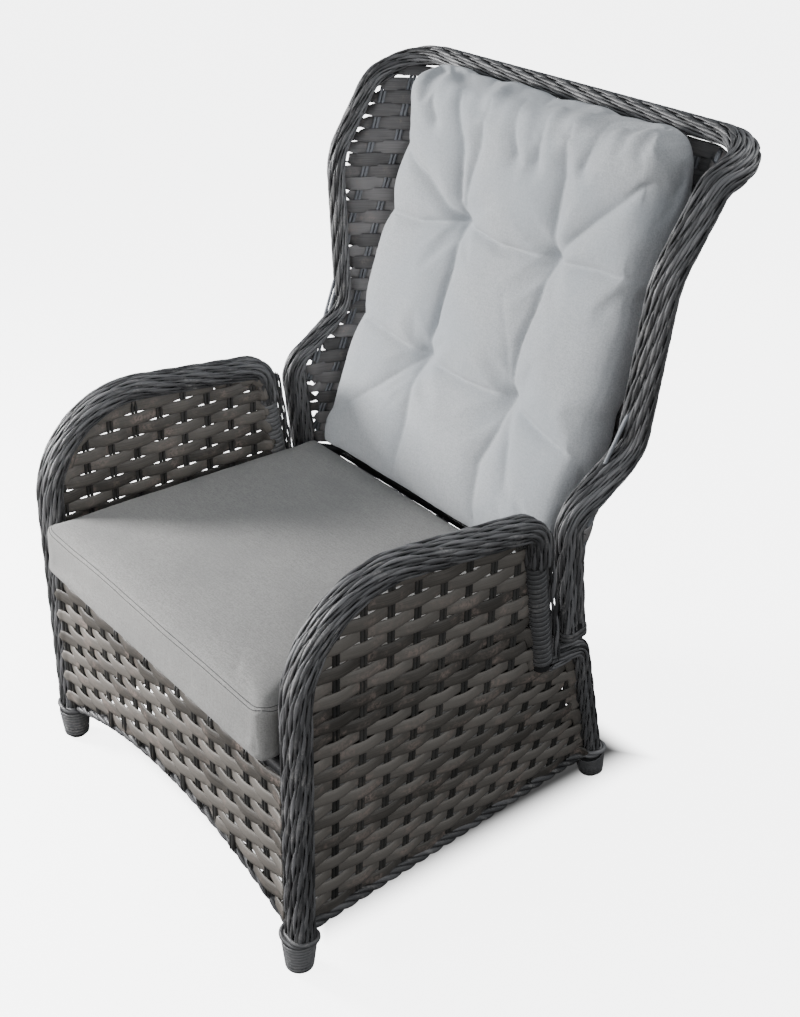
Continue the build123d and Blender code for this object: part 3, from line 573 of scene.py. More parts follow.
def archLine(y, halfWidth, z, rise, count=80):
    # arc through both ends and the middle
    radius = (halfWidth ** 2 + rise ** 2) / (2 * rise)
    sweep = math.asin(halfWidth / radius)
    marks = np.linspace(-sweep, sweep, count)
    return np.array([at(radius * math.sin(a), y, z + rise - radius + radius * math.cos(a)) for a in marks])


v = bottomEdge
rearX, rearY, _ = atLevel(rearLeg, v["z"])
frontArch = (v["frontHalf"], v["z"], v["frontRise"])
rearArch = (rearX - v["rearInset"], v["z"], v["rearRise"])
bands = {"front": archLine(v["frontY"], *frontArch), "rear": archLine(rearY, *rearArch)}
for name, side in hands:
    bands[name + "_side"] = np.array([
        at(v["sideX"] * side, v["sideY"], v["z"]),
        at((rearX + v["sideOut"]) * side, rearY - v["sideShort"], v["z"])])
for name, line in bands.items():
    bm = startStrands()
    layTwist(bm, evenly(line, bottomBand["step"] * mm), bottomBand)
    finishStrands(bm, name + "_edge_twist", "braid", name + "_edge_band")

collarLook = {"twist": 0.14, "offset": 3.2, "strand": 4.0, "strands": 2, "flat": 0.9, "count": 72}
collars = {"front": ((336, -308, 63), (48, 40, 18)), "rear": ((rearX + 1, rearY + 1, 66), (42, 42, 20))}
for place, (middle, outline) in collars.items():
    bm = startStrands()
    for _, side in hands:
        ring = closed(outlineRing(*outline, 0.0, collarLook["count"], 90 + 45 * side)[0])
        layTwist(bm, onSide(middle, side) + np.concatenate((ring, 0 * ring[:, :1]), axis=1), collarLook)
    finishStrands(bm, place + "_collars", "braid")

# Braid along the rear ledge

ledgeBraid = {"x": 316, "y": 217, "z": 337, "radius": 9.0, "step": 7,
              "angles": (-60, -15, 30, 75, 120, 165, 210)}
bm = startStrands()
v = ledgeBraid
line = evenly(np.array([at(-v["x"], v["y"], v["z"]), at(v["x"], v["y"], v["z"])]), v["step"] * mm)
way = np.array([(math.cos(math.radians(a)), math.sin(math.radians(a))) for a in v["angles"]])
layRopes(bm, line, *carried(line, (0, 1, 0)), *along(line, way * v["radius"] * mm, way), ropeLook)
finishStrands(bm, "ledge_rope", "braid", "rear_ledge_braid")

# Braided tails and rim of the back, one line from the left tail over the top to the right tail

rim = {
    "points": ((339, 188.5, 370), (339, 160.7, 573), (342, 273, 652), (369, 275, 912), (371, 352, 1030),
               (371, 452, 1064)),
    "bends": (45, 55, 110, 45, 78), "step": 7.4, "ropes": 16, "inset": 4.3, "core": 6.2,
    "tail": (31, 44, 13), "band": (46, 30, 13), "blend": (545, 610), "start": 36, "bandTurn": 36,
}


def rimRings(line, inset, count):
    tail, tailWay = outlineRing(*rim["tail"], inset, count, rim["start"])
    band, bandWay = outlineRing(*rim["band"], inset, count, rim["start"], rim["bandTurn"])
    low, high = (v * mm for v in rim["blend"])
    t = between(line[:, 2], low, high)
    t = (t * t * (3 - 2 * t))[:, None, None]
    return tail + (band - tail) * t, unit(tailWay + (bandWay - tailWay) * t)


left = list(rim["points"])
right = [(-x, y, z) for x, y, z in reversed(left)]
bends = [*rim["bends"], *reversed(rim["bends"])]
line = bentLine([at(*p) for p in left + right], [b * mm for b in bends], rim["step"] * mm)
sides, ups = carried(line, (1, 0, 0))
bm = startStrands()
layRopes(bm, line, sides, ups, *rimRings(line, rim["inset"], rim["ropes"]), dict(ropeLook, ring=7))
finishStrands(bm, "back_rope", "braid", "left_tail_braid", "right_tail_braid", "left_rim_braid",
              "right_rim_braid", "top_rim_braid", body="back")
bm = startStrands()
layCore(bm, line, sides, ups, rimRings(line, rim["core"], coreSides)[0])
finishStrands(bm, "back_rope_core", "core", body="back")

# Flat wrap rows round the lower ends of the tails

tailWrap = {"levels": (372.3, 380.0), "wide": 4.0, "thick": 1.2, "proud": 0.9, "count": 40, "start": 90,
            "x": 339, "y": 186, "yAt": 388, "lean": 0.137, "square": 0.7}
bm = startStrands()
v = tailWrap
lean = unit(np.array((0, -v["lean"], 1.0)))
front = unit(np.array((0, 1.0, v["lean"])))
sideways = np.array((1.0, 0, 0))
ring, way = (closed(part) for part in outlineRing(*rim["tail"], -v["proud"], v["count"], v["start"]))
for _, side in hands:
    for level in v["levels"]:
        line = at(v["x"] * side, v["y"] - (level - v["yAt"]) * v["lean"], level)
        line = line + sideways * ring[:, :1] + front * ring[:, 1:]
        out = sideways * way[:, :1] + front * way[:, 1:]
        layStrand(bm, line, np.repeat(lean[None], len(line), axis=0), out, v["wide"] * mm, v["thick"] * mm,
                  square=v["square"])
finishStrands(bm, "tail_bands", "braid", "tail_wraps", body="back")

# Wrapped feet: the solid cone stays inside

footWrap = {"pitch": 6.0, "wide": 3.1, "thick": 1.0, "turnSteps": 20, "radii": (20.4, 25.6),
            "front": ((335, -308, 9), (335, -308, 57)),
            "rear": ((*atLevel(rearLeg, 10)[:2], 11), atLevel(rearLeg, 60))}
for place in ("front", "rear"):
    for name, side in hands:
        bm = startStrands()
        layCoil(bm, *(onSide(end, side) for end in footWrap[place]), footWrap)
        finishStrands(bm, name + "_" + place + "_foot_coil", "braid")
print("braids done")

# Woven sheets: the wefts follow the middle of the source's panel

sheetSearch = {"inset": 0.001, "nudge": 0.0001, "thickest": 0.03, "halfThick": 0.004, "step": 0.005,
               "drops": (0, 4, 8, 12, 16, 20, 24), "least": 3, "blunt": 0.001, "rise": 0.01, "topGap": 0.004}
trees = {}


def treeOf(mesh):
    bm = bmesh.new()
    bm.from_mesh(mesh)
    tree = BVHTree.FromBMesh(bm)
    bm.free()
    return tree


def findSheet(name, axis, place, level, start):
    # middle of the sheet where a ray along one axis crosses it, and the face's way out
    v = sheetSearch
    if name not in trees:
        trees[name] = treeOf(nodes[name].data)
    tree = trees[name]
    origin = Vector((start, place, level)) if axis == 0 else Vector((place, start, level))
    way = Vector((1, 0, 0)) if axis == 0 else Vector((0, 1, 0))
    if start > 0:
        way = -way
    first = tree.ray_cast(origin, way)
    if first[0] is None:
        return None
    second = tree.ray_cast(first[0] + way * v["nudge"], way)
    if second[0] is None or (second[0] - first[0]).length > v["thickest"]:
        return np.array(first[0]) + np.array(way) * v["halfThick"], np.array(first[1])
    return (np.array(first[0]) + np.array(second[0])) / 2, np.array(first[1])


def readRow(name, axis, level, low, high, start):
    # runs of the sheet at one level, each a list of (place, point, way out)
    runs, run = [], []
    step = sheetSearch["step"]
    for place in np.arange(low, high + step, step):
        hit = None
        for drop in sheetSearch["drops"]:      # the top rows follow the sheet's upper edge
            hit = hit or findSheet(name, axis, place, level - drop * mm, start)
        if hit is not None:
            run.append((place, *hit))
            continue
        runs.append(run)
        run = []
    return [run for run in runs + [run] if len(run) > sheetSearch["least"]]


def runArrays(run, lead, byLength, hold):
    # run as arrays over its own measure, carried a little past both ends
    points = np.array([p for _, p, _ in run])
    ways = unit(np.array([w for _, _, w in run]))
    if byLength:
        marks = lengths(points)
        marks = marks - np.interp(0.0, points[:, 0], marks)
    else:
        marks = np.array([place for place, _, _ in run])
    first, last = (lead if abs(place) > hold else sheetSearch["blunt"] for place in (run[0][0], run[-1][0]))
    head = points[0] - unit(points[1] - points[0]) * first
    tail = points[-1] + unit(points[-1] - points[-2]) * last
    points = np.concatenate(([head], points, [tail]))
    ways = np.concatenate((ways[:1], ways, ways[-1:]))
    marks = np.concatenate(([marks[0] - first], marks, [marks[-1] + last]))
    return marks, points, ways


def weftStations(marks, points, ways, pitch, steps):
    count = max(4, int((marks[-1] - marks[0]) / pitch * steps))
    spots = np.linspace(marks[0], marks[-1], count + 1)
    line = spread(spots, marks, points)
    way = unit(spread(spots, marks, ways))
    ahead = tangents(line)
    way = unit(way - ahead * np.sum(way * ahead, axis=1, keepdims=True))
    rise = np.cross(way, ahead)
    return spots, line, way, rise * np.sign(rise[:, 2:])


def archHeight(x, halfWidth, z, rise):
    radius = (halfWidth ** 2 + rise ** 2) / (2 * rise)
    return (z + rise - radius + np.sqrt(np.maximum(radius ** 2 - (x / mm) ** 2, 0))) * mm


def rowLevels(name, look, top):
    # levels one row pitch apart, measured on the sheet at the place named by measureAt
    levels = [look["firstRow"] * mm]
    rise = sheetSearch["rise"]
    while levels[-1] < top - sheetSearch["topGap"]:
        step = look["rowPitch"] * mm
        if "measureAt" in look:
            near = [findSheet(name, look["axis"], look["measureAt"], levels[-1] + d, look["start"])
                    for d in (0, rise)]
            if near[0] is not None and near[1] is not None:
                lean = (near[1][0][1] - near[0][0][1]) / rise
                step /= math.sqrt(1 + lean * lean)
        levels.append(levels[-1] + step)
    return levels[:-1]


def layStakes(look, columns):
    bm = startStrands()
    for spots in columns.values():
        if len(spots) < 2:
            continue
        points = np.array([spot for spot, _ in spots])
        ways = unit(np.array([way for _, way in spots]))
        first = points[0] + (points[0] - points[1]) * look["stakeReach"]
        last = points[-1] + (points[-1] - points[-2]) * look["stakeReach"]
        if "arch" in look:
            first[2] = max(first[2], archHeight(first[0], *look["arch"]) - look["stakeBelow"] * mm)
        points = np.concatenate(([first], points, [last]))
        ways = np.concatenate((ways[:1], ways, ways[-1:]))
        chance = rng.random()
        for side in (-1, 1):
            line = points + ways * side * look["stakeGap"] * mm
            ahead = tangents(line)
            out = unit(np.cross(ways, ahead))
            thick = look["stake"] * mm
            layStrand(bm, line, unit(np.cross(ahead, out)), out, thick, thick, chance=chance)
    finishStrands(bm, look["piece"] + "_stakes", look["stakeFinish"], body=look["body"])


def buildSheet(name, **changes):
    # plain weave: rows of wefts over and under twin stakes
    look = dict(woven, **changes)
    bm = startStrands()
    low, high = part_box(name)
    axis = look["axis"]
    span = (low[1], high[1]) if axis == 0 else (low[0], high[0])
    pitch = look["stakePitch"] * mm
    firstStake = look["firstStake"] * mm
    gap = look["endGap"] * mm
    columns = {}
    for row, level in enumerate(rowLevels(name, look, high[2])):
        for run in readRow(name, axis, level, span[0] + sheetSearch["inset"], span[1], look["start"]):
            marks, points, ways = runArrays(run, look["lead"] * mm, look["byLength"], look["hold"])
            spots, line, way, rise = weftStations(marks, points, ways, pitch, look["steps"])
            turn = math.pi * (spots - firstStake) / pitch + math.pi * row
            jog = look["jog"] * mm * math.sin(row * look["jogTurn"])
            strand = line + way * (np.cos(turn)[:, None] * look["lift"] * mm) + rise * jog
            if "arch" in look:
                # rows cut by the arched edge run along it, behind the band
                least = archHeight(strand[:, 0], *look["arch"]) + look["archGap"] * mm
                above, over = (v * mm for v in look["archFade"])
                near = np.clip((least + above - strand[:, 2]) / over, 0, 1)[:, None]
                strand -= way * near * look["archIn"] * mm
                strand[:, 2] = np.maximum(strand[:, 2], least)
            ahead = tangents(strand)
            across = unit(np.cross(way, ahead))
            across = across * np.sign(np.sum(across * rise, axis=1, keepdims=True))
            layStrand(bm, strand, across, unit(np.cross(ahead, across)), look["wide"] * mm,
                      look["thick"] * mm, look["ring"], square=look["square"])
            ahead = tangents(line)
            for k in range(math.ceil((marks[0] - firstStake) / pitch),
                           math.floor((marks[-1] - firstStake) / pitch) + 1):
                mark = k * pitch + firstStake
                if marks[0] + gap < mark < marks[-1] - gap:
                    columns.setdefault(k, []).append((spread(mark, spots, line), spread(mark, spots, ahead)))
    finishStrands(bm, look["piece"] + "_weave", look["weft"], name, body=look["body"])
    layStakes(look, columns)


woven = {
    "rowPitch": 20.2, "firstRow": 76, "lift": 3.2, "wide": 10.9, "thick": 2.5, "ring": 10, "square": 0.75,
    "steps": 8, "lead": 9.0, "hold": 0.0, "byLength": False, "jog": 0.6, "jogTurn": 5.1,
    "archGap": 16.5, "archFade": (4, 6), "archIn": 8,
    "stakePitch": 45.0, "firstStake": 0, "stake": 2.8, "stakeGap": 3.1, "stakeReach": 0.55, "stakeBelow": 2,
    "endGap": 2, "body": "base", "weft": "weft", "stakeFinish": "stake",
}
buildSheet("left_side_panel", piece="left_side", axis=0, start=0.0, firstStake=-349)
buildSheet("right_side_panel", piece="right_side", axis=0, start=-0.5, firstStake=-352)
buildSheet("front_panel", piece="front", axis=1, start=-0.6, hold=0.29, arch=frontArch)
buildSheet("rear_panel", piece="rear", axis=1, start=0.6, hold=0.26, arch=rearArch)
buildSheet("back_weave", piece="back_sheet", axis=1, start=-0.5, stakePitch=43.0, lift=2.9, wide=11.3,
           thick=1.3, firstRow=428, measureAt=0.2, byLength=True, steps=7, body="back", weft="wing",
           stakeFinish="wingStake")
print("weave done")


# Cushions: a rounded box is shaped, swelled by cloth simulation, then creased

def roundedBlock(name, half, bow, cuts):
    bm = bmesh.new()
    bmesh.ops.create_cube(bm, size=2.0)
    bmesh.ops.subdivide_edges(bm, edges=bm.edges, cuts=cuts, use_grid_fill=True)
    half = np.array(half)
    inner = half - bow
    for vertex in bm.verts:
        spot = np.array(vertex.co) * half
        held = np.clip(spot, -inner, inner)
        way = spot - held
        reach = np.linalg.norm(way)
        vertex.co = held + way / reach * bow if reach > 1e-9 else spot
    return meshed(name, bm)


def points(piece):
    flat = np.empty(len(piece.data.vertices) * 3, np.float32)
    piece.data.vertices.foreach_get("co", flat)
    return flat.reshape(-1, 3).astype(float)


def setPoints(piece, spots):
    piece.data.vertices.foreach_set("co", spots.astype(np.float32).ravel())
    piece.data.update()


def applyModifiers(piece):
    graph = bpy.context.evaluated_depsgraph_get()
    mesh = bpy.data.meshes.new_from_object(piece.evaluated_get(graph))
    piece.modifiers.clear()
    old = piece.data
    piece.data = mesh
    bpy.data.meshes.remove(old)


def modified(piece, kind, **settings):
    modifier = piece.modifiers.new("shaping", kind)
    for setting, value in settings.items():
        setattr(modifier, setting, value)
    applyModifiers(piece)


swellFrames = 20
swelling = {"use_pressure": True, "uniform_pressure_force": 4.0, "vertex_group_mass": "held", "quality": 6,
            "mass": 0.3, "tension_stiffness": 15, "compression_stiffness": 15, "bending_stiffness": 0.5}


def swelled(piece, cap, pinned):
    # cloth simulation under pressure; cap and pinned are given for each vertex
    before = points(piece)
    group = piece.vertex_groups.new(name="held")
    for i in np.nonzero(pinned > 0)[0]:
        group.add([int(i)], float(pinned[i]), "REPLACE")
    cloth = piece.modifiers.new("swell", "CLOTH")
    for setting, value in swelling.items():
        setattr(cloth.settings, setting, value)
    cloth.settings.effector_weights.gravity = 0.0
    cloth.point_cache.frame_start = 1
    cloth.point_cache.frame_end = swellFrames
    for number in range(1, swellFrames + 1):
        scene.frame_set(number)
    applyModifiers(piece)
    scene.frame_set(1)
    move = points(piece) - before
    reach = np.linalg.norm(move, axis=1, keepdims=True)
    limit = cap[:, None]
    held = limit * np.tanh(reach / np.maximum(limit, 1e-6))
    setPoints(piece, before + move / np.maximum(reach, 1e-9) * held)


def softNoise(spots, scale, seed):
    return np.array([noise.noise(Vector(s * scale) + Vector((seed, seed, seed))) for s in spots])


# The seat cushion; local runs from -1 to 1 over the block
seatCushion = {
    "half": (0.3065, 0.2650, 0.0440), "middle": (0.0, -0.1445, 0.3995), "bow": 0.014, "voxel": 0.006,
    "cuts": 40, "cap": 0.006, "capBelow": 0.0005, "capEdge": 0.7, "capReach": 0.25, "belowFrom": -0.6,
    "heldFrom": -0.8, "crown": 0.0054, "crownPower": 0.6, "topRange": (0.2, 0.8),
    "dents": ((0.0012, 7.0, 3.1), (0.0005, 26.0, 1.7)),
    "sideFrom": 0.9, "sideDraw": 0.002, "ripple": (16.0, 5.5), "rippleUpright": 0.3, "rest": 0.3538,
    "stitchInsets": (6.0, 9.5), "stitchBow": 26, "stitches": 360, "stitchSize": (0.0006, 0.0005, 6, 0.5),
    "stitchProud": 0.0001, "castFrom": 0.6,
}


def buildSeatCushion():
    v = seatCushion
    middle, half = np.array(v["middle"]), np.array(v["half"])
    piece = roundedBlock("seat_pad", v["half"], v["bow"], v["cuts"])
    setPoints(piece, points(piece) + middle)
    modified(piece, "REMESH", mode="VOXEL", voxel_size=v["voxel"])
    local = (points(piece) - middle) / half
    inward = between(1 - np.max(np.abs(local[:, :2]), axis=1), 0, v["capReach"])
    cap = v["cap"] * (v["capEdge"] + (1 - v["capEdge"]) * inward)
    cap = np.where(local[:, 2] < v["belowFrom"], v["capBelow"], cap)
    swelled(piece, cap, np.where(local[:, 2] < v["heldFrom"], 1.0, 0.0))
    modified(piece, "SUBSURF", levels=1, render_levels=1)
    spots = points(piece)
    local = (spots - middle) / half
    top = between(local[:, 2], *v["topRange"])
    dome = np.clip(1 - local[:, 0] ** 2, 0, 1) * np.clip(1 - local[:, 1] ** 2, 0, 1)
    spots[:, 2] += v["crown"] * top * dome ** v["crownPower"]
    spots[:, 2] += sum(top * high * softNoise(spots, scale, seed) for high, scale, seed in v["dents"])
    side = between(np.max(np.abs(local[:, :2]), axis=1), v["sideFrom"], 1)
    ripple = softNoise(spots * np.array((1, 1, v["rippleUpright"])), *v["ripple"])
    spots[:, :2] *= (1 - v["sideDraw"] * side * (1 + ripple))[:, None]
    spots[:, 2] = np.maximum(spots[:, 2], v["rest"])
    setPoints(piece, spots)
    dress(piece, "seat", "base", "seat_fabric", "seat_cushion")
    addSeatWelt(piece)


def addSeatWelt(piece):
    # two rows of stitches along the upper edge, laid on the finished surface
    v = seatCushion
    tree = treeOf(piece.data)
    bm = startStrands()
    x0, y0, _ = v["middle"]
    size = [2 * h / mm for h in v["half"][:2]]
    for inset in v["stitchInsets"]:
        line = []
        for x, y in closed(outlineRing(*size, v["stitchBow"], inset, v["stitches"], 0)[0]):
            hit = tree.ray_cast(Vector((x0 + x, y0 + y, v["castFrom"])), Vector((0, 0, -1)))
            line.append(np.array(hit[0]) + np.array(hit[1]) * v["stitchProud"])
        line = np.array(line)
        ahead = tangents(line)
        out = unit(np.cross(np.cross(ahead, np.array((0, 0, 1.0))), ahead))
        layStrand(bm, line, unit(np.cross(out, ahead)), out, *v["stitchSize"])
    finishStrands(bm, "seat_welt", "stitch", slot="seat_fabric")


backCushion = {
    "half": (0.2850, 0.0360, 0.3180), "bottom": 434.0, "top": 1070.0, "bow": 0.024, "voxel": 0.006,
    "cuts": 44, "cap": 0.014, "capCreased": 0.8, "capCrease": 18, "capLow": 0.4, "capBack": 0.0002,
    "backFrom": 0.7, "frontFrom": (-0.35, 0.65), "fineFrontFrom": (-0.2, 0.4), "edge": 0.05,
    "edgeShare": 0.35, "full": 9.0,
    "lowReach": 60, "lowDraw": 12, "highReach": 60,
    "puckers": ((3.0, 15.0, 0.6), (2.0, 7.0, 0.0)),       # depth, length and start of each wave along the top
    "dip": 2, "dips": ((3, 24.0, 1.0), (1.5, 10.0, 0.0)),
    "dents": ((0.0011, 24.0, 9.0, 1.0), (0.0022, 11.0, 2.0, 0.5)),
    "frontLimit": 107.5, "limitFrom": 451.0, "limitSlope": 2.4, "limitSoft": 0.003, "deepest": 425,
    "restGap": 4.3, "clear": 0.001,
    # where the sides draw in: height, reach up and down, and how far
    "pinches": ((842, 24, 9), (668, 24, 8), (1074, 34, 18)),
    "tufts": ((-103, 856), (103, 853), (-101, 645), (103, 645)),
    "tuftHeld": 9, "tuftSoft": (46, 30), "tuftSharp": (8, 6), "atTuft": 30,
    "softDepth": 1.5, "softWidth": 1.5, "softPower": 1.1, "sharpDepth": 0.42, "sharpWidth": 0.3,
    "fadeLeast": 0.45,
}
# as seen from the front, in millimetres across and up: width and depth, then the points
creases = (
    (16, 15, ((-290, 838), (-190, 838), (-103, 856))),
    (16, 13, ((-103, 856), (0, 848), (103, 853))),
    (15, 13, ((103, 853), (200, 868), (290, 872))),
    (15, 14, ((-290, 672), (-190, 660), (-101, 645))),
    (15, 14, ((-101, 645), (0, 640), (103, 645))),
    (15, 14, ((103, 645), (200, 628), (290, 615))),
    (17, 13, ((-103, 856), (-90, 790), (-92, 700), (-101, 645))),
    (17, 12, ((103, 853), (108, 800), (98, 730), (103, 645))),
    (14, 13, ((-290, 950), (-190, 910), (-103, 856))),
    (17, 12, ((-150, 1050), (-122, 960), (-103, 856))),
    (17, 10, ((-75, 1050), (-82, 990), (-100, 880))),
    (18, 12, ((100, 1050), (102, 940), (103, 853))),
    (18, 12, ((255, 1000), (180, 930), (103, 853))),
    (20, 9, ((-240, 520), (-160, 585), (-101, 645))),
    (18, 12, ((-101, 645), (-100, 600), (-80, 540), (-72, 470))),
    (18, 12, ((103, 645), (110, 600), (100, 550), (125, 470))),
    (20, 8, ((103, 645), (140, 600), (170, 540))),
    (22, 7, ((45, 790), (80, 720), (103, 645))),
    (13, 7, ((-20, 1060), (-10, 1020), (0, 985))),
    (13, 7, ((45, 1060), (48, 1020), (42, 985))),
    (12, 6, ((150, 1060), (148, 1030), (140, 1000))),
    (12, 6, ((-210, 1060), (-205, 1030), (-190, 1000))),
)
weaveBow = {"z": (408, 1052), "y": (226, 450), "bow": 14}


def weaveLine(z):
    # middle of the back weave at a height, in millimetres
    (low, high), (first, last) = weaveBow["z"], weaveBow["y"]
    t = (z - low) / (high - low)
    return first + (last - first) * t + weaveBow["bow"] * 4 * t * (1 - t)


def nearest(spots, line):
    # distance of each spot to a crease, and how far along it, from 0 to 1
    best = np.full(len(spots), 1e9)
    share = np.zeros(len(spots))
    line = np.array(line, float)
    run = lengths(line)
    for a, b, start in zip(line, line[1:], run):
        span = b - a
        t = np.clip(((spots - a) @ span) / (span @ span), 0, 1)
        reach = np.linalg.norm(spots - (a + t[:, None] * span), axis=1)
        closer = reach < best
        best = np.where(closer, reach, best)
        share = np.where(closer, (start + t * np.linalg.norm(span)) / run[-1], share)
    return best, share


def toTufts(x, z):
    # distance to the nearest tuft
    return np.minimum.reduce([np.hypot(x - tuftX, z - tuftZ) for tuftX, tuftZ in backCushion["tufts"]])


def creaseDepth(flat, sharp):
    # how deep the front lies below its puffs, in millimetres
    v = backCushion
    deepest, spreading = v["tuftSharp"] if sharp else v["tuftSoft"]
    depth = deepest * np.exp(-toTufts(flat[:, 0], flat[:, 1]) / spreading)
    for wide, deep, line in creases:
        reach, share = nearest(flat, line)
        startsAtTuft = toTufts(*line[0]) < v["atTuft"]
        bothTufts = startsAtTuft and toTufts(*line[-1]) < v["atTuft"]
        fade = 1 - share if startsAtTuft else share
        strength = 1.0 if bothTufts else v["fadeLeast"] + (1 - v["fadeLeast"]) * fade
        if sharp:
            fall = v["sharpDepth"] * np.exp(-reach / (v["sharpWidth"] * wide))
        else:
            fall = v["softDepth"] * np.exp(-(reach / (v["softWidth"] * wide)) ** v["softPower"])
        depth = np.maximum(depth, deep * strength * fall)
    return depth


def waves(x, rows):
    return sum(high * np.sin(x / run + start) for high, run, start in rows)


def fromFront(piece, marks):
    # points, their places seen from the front in millimetres, and how far each faces forward
    v = backCushion
    spots = points(piece)
    flat = np.stack((spots[:, 0] / mm, spots[:, 2] / mm + (v["bottom"] + v["top"]) / 2), axis=1)
    return spots, flat, between(-spots[:, 1] / v["half"][1], *v[marks])


def buildBackCushion():
    v = backCushion
    piece = roundedBlock("back_pad", v["half"], v["bow"], v["cuts"])
    modified(piece, "REMESH", mode="VOXEL", voxel_size=v["voxel"])
    halfX, halfY, halfZ = v["half"]
    spots, flat, frontness = fromFront(piece, "frontFrom")
    edge = np.minimum(halfX - np.abs(spots[:, 0]), halfZ - np.abs(spots[:, 2]))
    edge = np.clip(edge / v["edge"], 0, 1)
    low = np.clip((flat[:, 1] - v["bottom"]) / v["lowReach"], 0, 1)
    highEdge = np.clip(1 - (v["top"] - flat[:, 1]) / v["highReach"], 0, 1)
    full = v["full"] * np.sqrt(edge) - v["lowDraw"] * (1 - low * low * (3 - 2 * low))
    full -= creaseDepth(flat, False) * (v["edgeShare"] + (1 - v["edgeShare"]) * edge)
    spots[:, 1] -= frontness * (full + highEdge * waves(flat[:, 0], v["puckers"])) * mm
    spots[:, 2] -= highEdge ** 2 * (v["dip"] + waves(flat[:, 0], v["dips"])) * mm
    drawn = sum(far * np.exp(-((flat[:, 1] - z) / reach) ** 2) for z, reach, far in v["pinches"])
    spots[:, 0] -= np.sign(spots[:, 0]) * drawn * mm * np.clip(np.abs(spots[:, 0]) / halfX, 0, 1) ** 3
    setPoints(piece, spots)
    pinned = np.where(toTufts(flat[:, 0], flat[:, 1]) < v["tuftHeld"], 1.0, 0.0)
    cap = v["cap"] * (1 - v["capCreased"] * np.clip(creaseDepth(flat, False) / v["capCrease"], 0, 1))
    cap *= v["capLow"] + (1 - v["capLow"]) * low
    back = spots[:, 1] > halfY * v["backFrom"]
    pinned[back] = 1.0
    cap[back] = v["capBack"]
    swelled(piece, cap, pinned)
    modified(piece, "SUBSURF", levels=1, render_levels=1)
    spots, flat, frontness = fromFront(piece, "fineFrontFrom")
    spots[:, 1] += frontness * creaseDepth(flat, True) * mm
    for high, scale, seed, upright in v["dents"]:
        spots[:, 1] += frontness * high * softNoise(spots * np.array((1.0, 1.0, upright)), scale, seed)
    z = flat[:, 1]
    rest = np.minimum(weaveLine(z) - v["restGap"], v["deepest"]) - rearShift
    spots[:, 1] += rest * mm - v["half"][1] - v["clear"]
    limit = (v["frontLimit"] + np.maximum(v["limitFrom"] - z, 0) * v["limitSlope"]) * mm
    soft = v["limitSoft"]
    spots[:, 1] = limit + np.logaddexp(0, (spots[:, 1] - limit) / soft) * soft
    spots[:, 2] = z * mm
    setPoints(piece, spots)
    dress(piece, "back", "back", "back_fabric", "back_cushion")


buildSeatCushion()
buildBackCushion()

# Materials of the source's own pieces

finishOf = {"painted_tube": "paint", "webbing": "webbing", "glide_plastic": "plastic", "bare_steel": "steel",
            "moulded_plastic": "plastic", "cable_sheath": "plastic", "black_steel": "blackSteel",
            "wicker": "core", "seat_fabric": "seat", "back_fabric": "back"}
slotOf = {item["node"]: item["material_slot"] for item in frame["record"]["subparts"]}
for name, node in nodes.items():
    node.data.materials.clear()
    node.data.materials.append(finish[finishOf[slotOf[name]]])
print("finishes set", sorted(set(slotOf.values())))

# Stage, lights and camera

stage = {"floor": 60.0, "glow": 5.0, "rough": 0.9, "shade": (0.012, 0.012, 0.012, 1),
         "white": (1.0, 1.0, 1.0, 1), "shadeX": (0.26, 0.34), "shadeMiddle": 0.03, "shadeY": (0.3, 0.36),
         "skyLow": (0.05, 0.048, 0.045, 1), "skyHigh": (0.86, 0.93, 1.0, 1), "skyRange": (-0.5, 0.6),
         "skyStrength": 0.38}

bm = bmesh.new()
bmesh.ops.create_grid(bm, x_segments=1, y_segments=1, size=stage["floor"])
floor = meshed("floor", bm)
paper, tree, shader = principled("paleFloor")
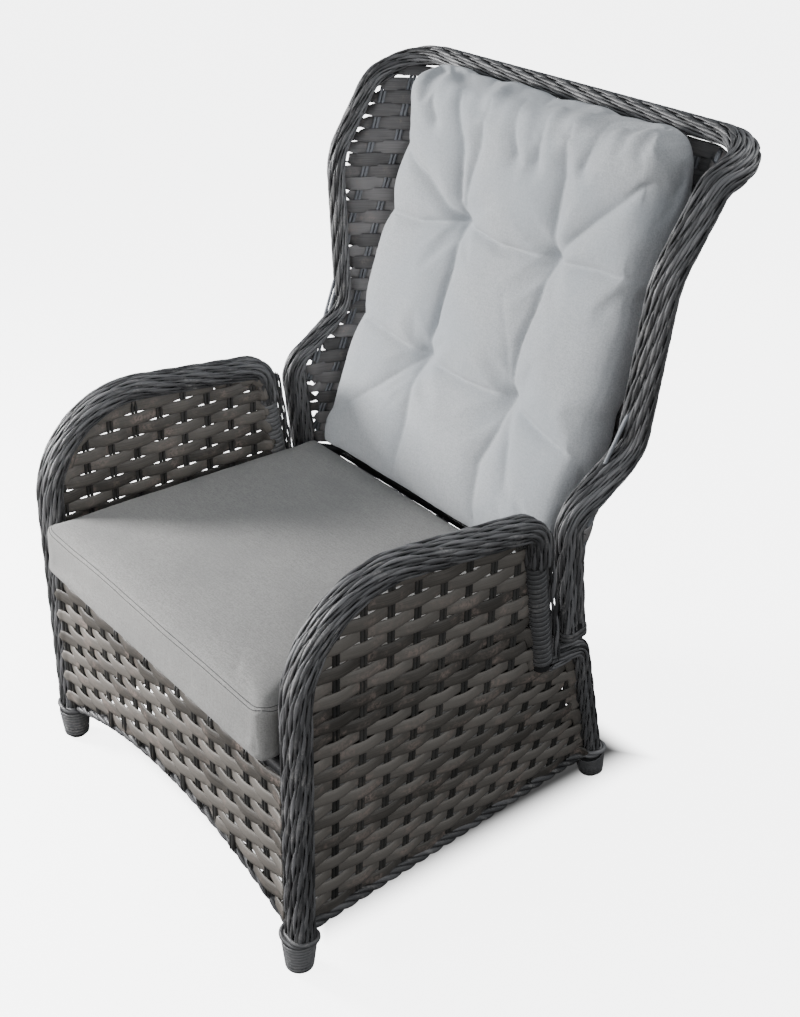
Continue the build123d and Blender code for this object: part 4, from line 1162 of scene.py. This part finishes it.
# painted shadow: the floor's colour is darkened under the seat
spot = parted(tree, objectPlace(tree))
aside = ramp(tree, mathNode(tree, "ABSOLUTE", spot[0]), *stage["shadeX"])
fromMiddle = mathNode(tree, "SUBTRACT", spot[1], stage["shadeMiddle"])
behind = ramp(tree, mathNode(tree, "ABSOLUTE", fromMiddle), *stage["shadeY"])
shade = mixed(tree, mathNode(tree, "MAXIMUM", aside, behind), stage["shade"], stage["white"])
feed(tree, shader, {"Roughness": stage["rough"], "Emission Strength": stage["glow"], "Emission Color": shade,
                    "Base Color": shade})
floor.visible_diffuse = False
floor.visible_glossy = False
floor.data.materials.append(paper)

world = bpy.data.worlds.new("studio")
scene.world = world
world.use_nodes = True
sky = world.node_tree
height = parted(sky, newNode(sky, "TexCoord", {}).outputs["Generated"])[2]
shade = mixed(sky, ramp(sky, height, *stage["skyRange"]), stage["skyLow"], stage["skyHigh"])
feed(sky, sky.nodes["Background"], {0: shade, 1: stage["skyStrength"]})

# place, target, size and power of each soft light
lights = {
    "keyLight": ((-1.65, -1.25, 1.15), (0, 0.1, 0.75), 0.5, 88),
    "frontLight": ((-0.3, -1.9, 0.75), (0, -0.3, 0.4), 0.6, 19),
    "fillLight": ((2.6, -1.2, 1.6), (0, 0, 0.4), 1.4, 22),
    "backLight": ((0.6, 2.4, 2.8), (0, 0, 0.7), 1.4, 35),
}
for name, (place, target, size, power) in lights.items():
    data = bpy.data.lights.new(name, "AREA")
    data.shape = "SQUARE"
    data.size = size
    data.energy = power
    light = placed(name, data)
    light.location = place
    light.rotation_euler = (Vector(target) - Vector(place)).to_track_quat("-Z", "Y").to_euler()

view = {"place": (1.558, -1.204, 1.573), "turns": ((50.8, "Z"), (60.8, "X"), (1.25, "Z")), "lens": 51.04,
        "sensor": 36}
cameraData = bpy.data.cameras.new("camera")
cameraData.lens = view["lens"]
cameraData.sensor_width = view["sensor"]
cameraData.sensor_fit = "AUTO"
camera = placed("camera", cameraData)
camera.location = view["place"]
turn, tilt, roll = (Matrix.Rotation(math.radians(angle), 3, axis) for angle, axis in view["turns"])
camera.rotation_euler = (turn @ tilt @ roll).to_euler()
scene.camera = camera
print("stage, lights and camera set")
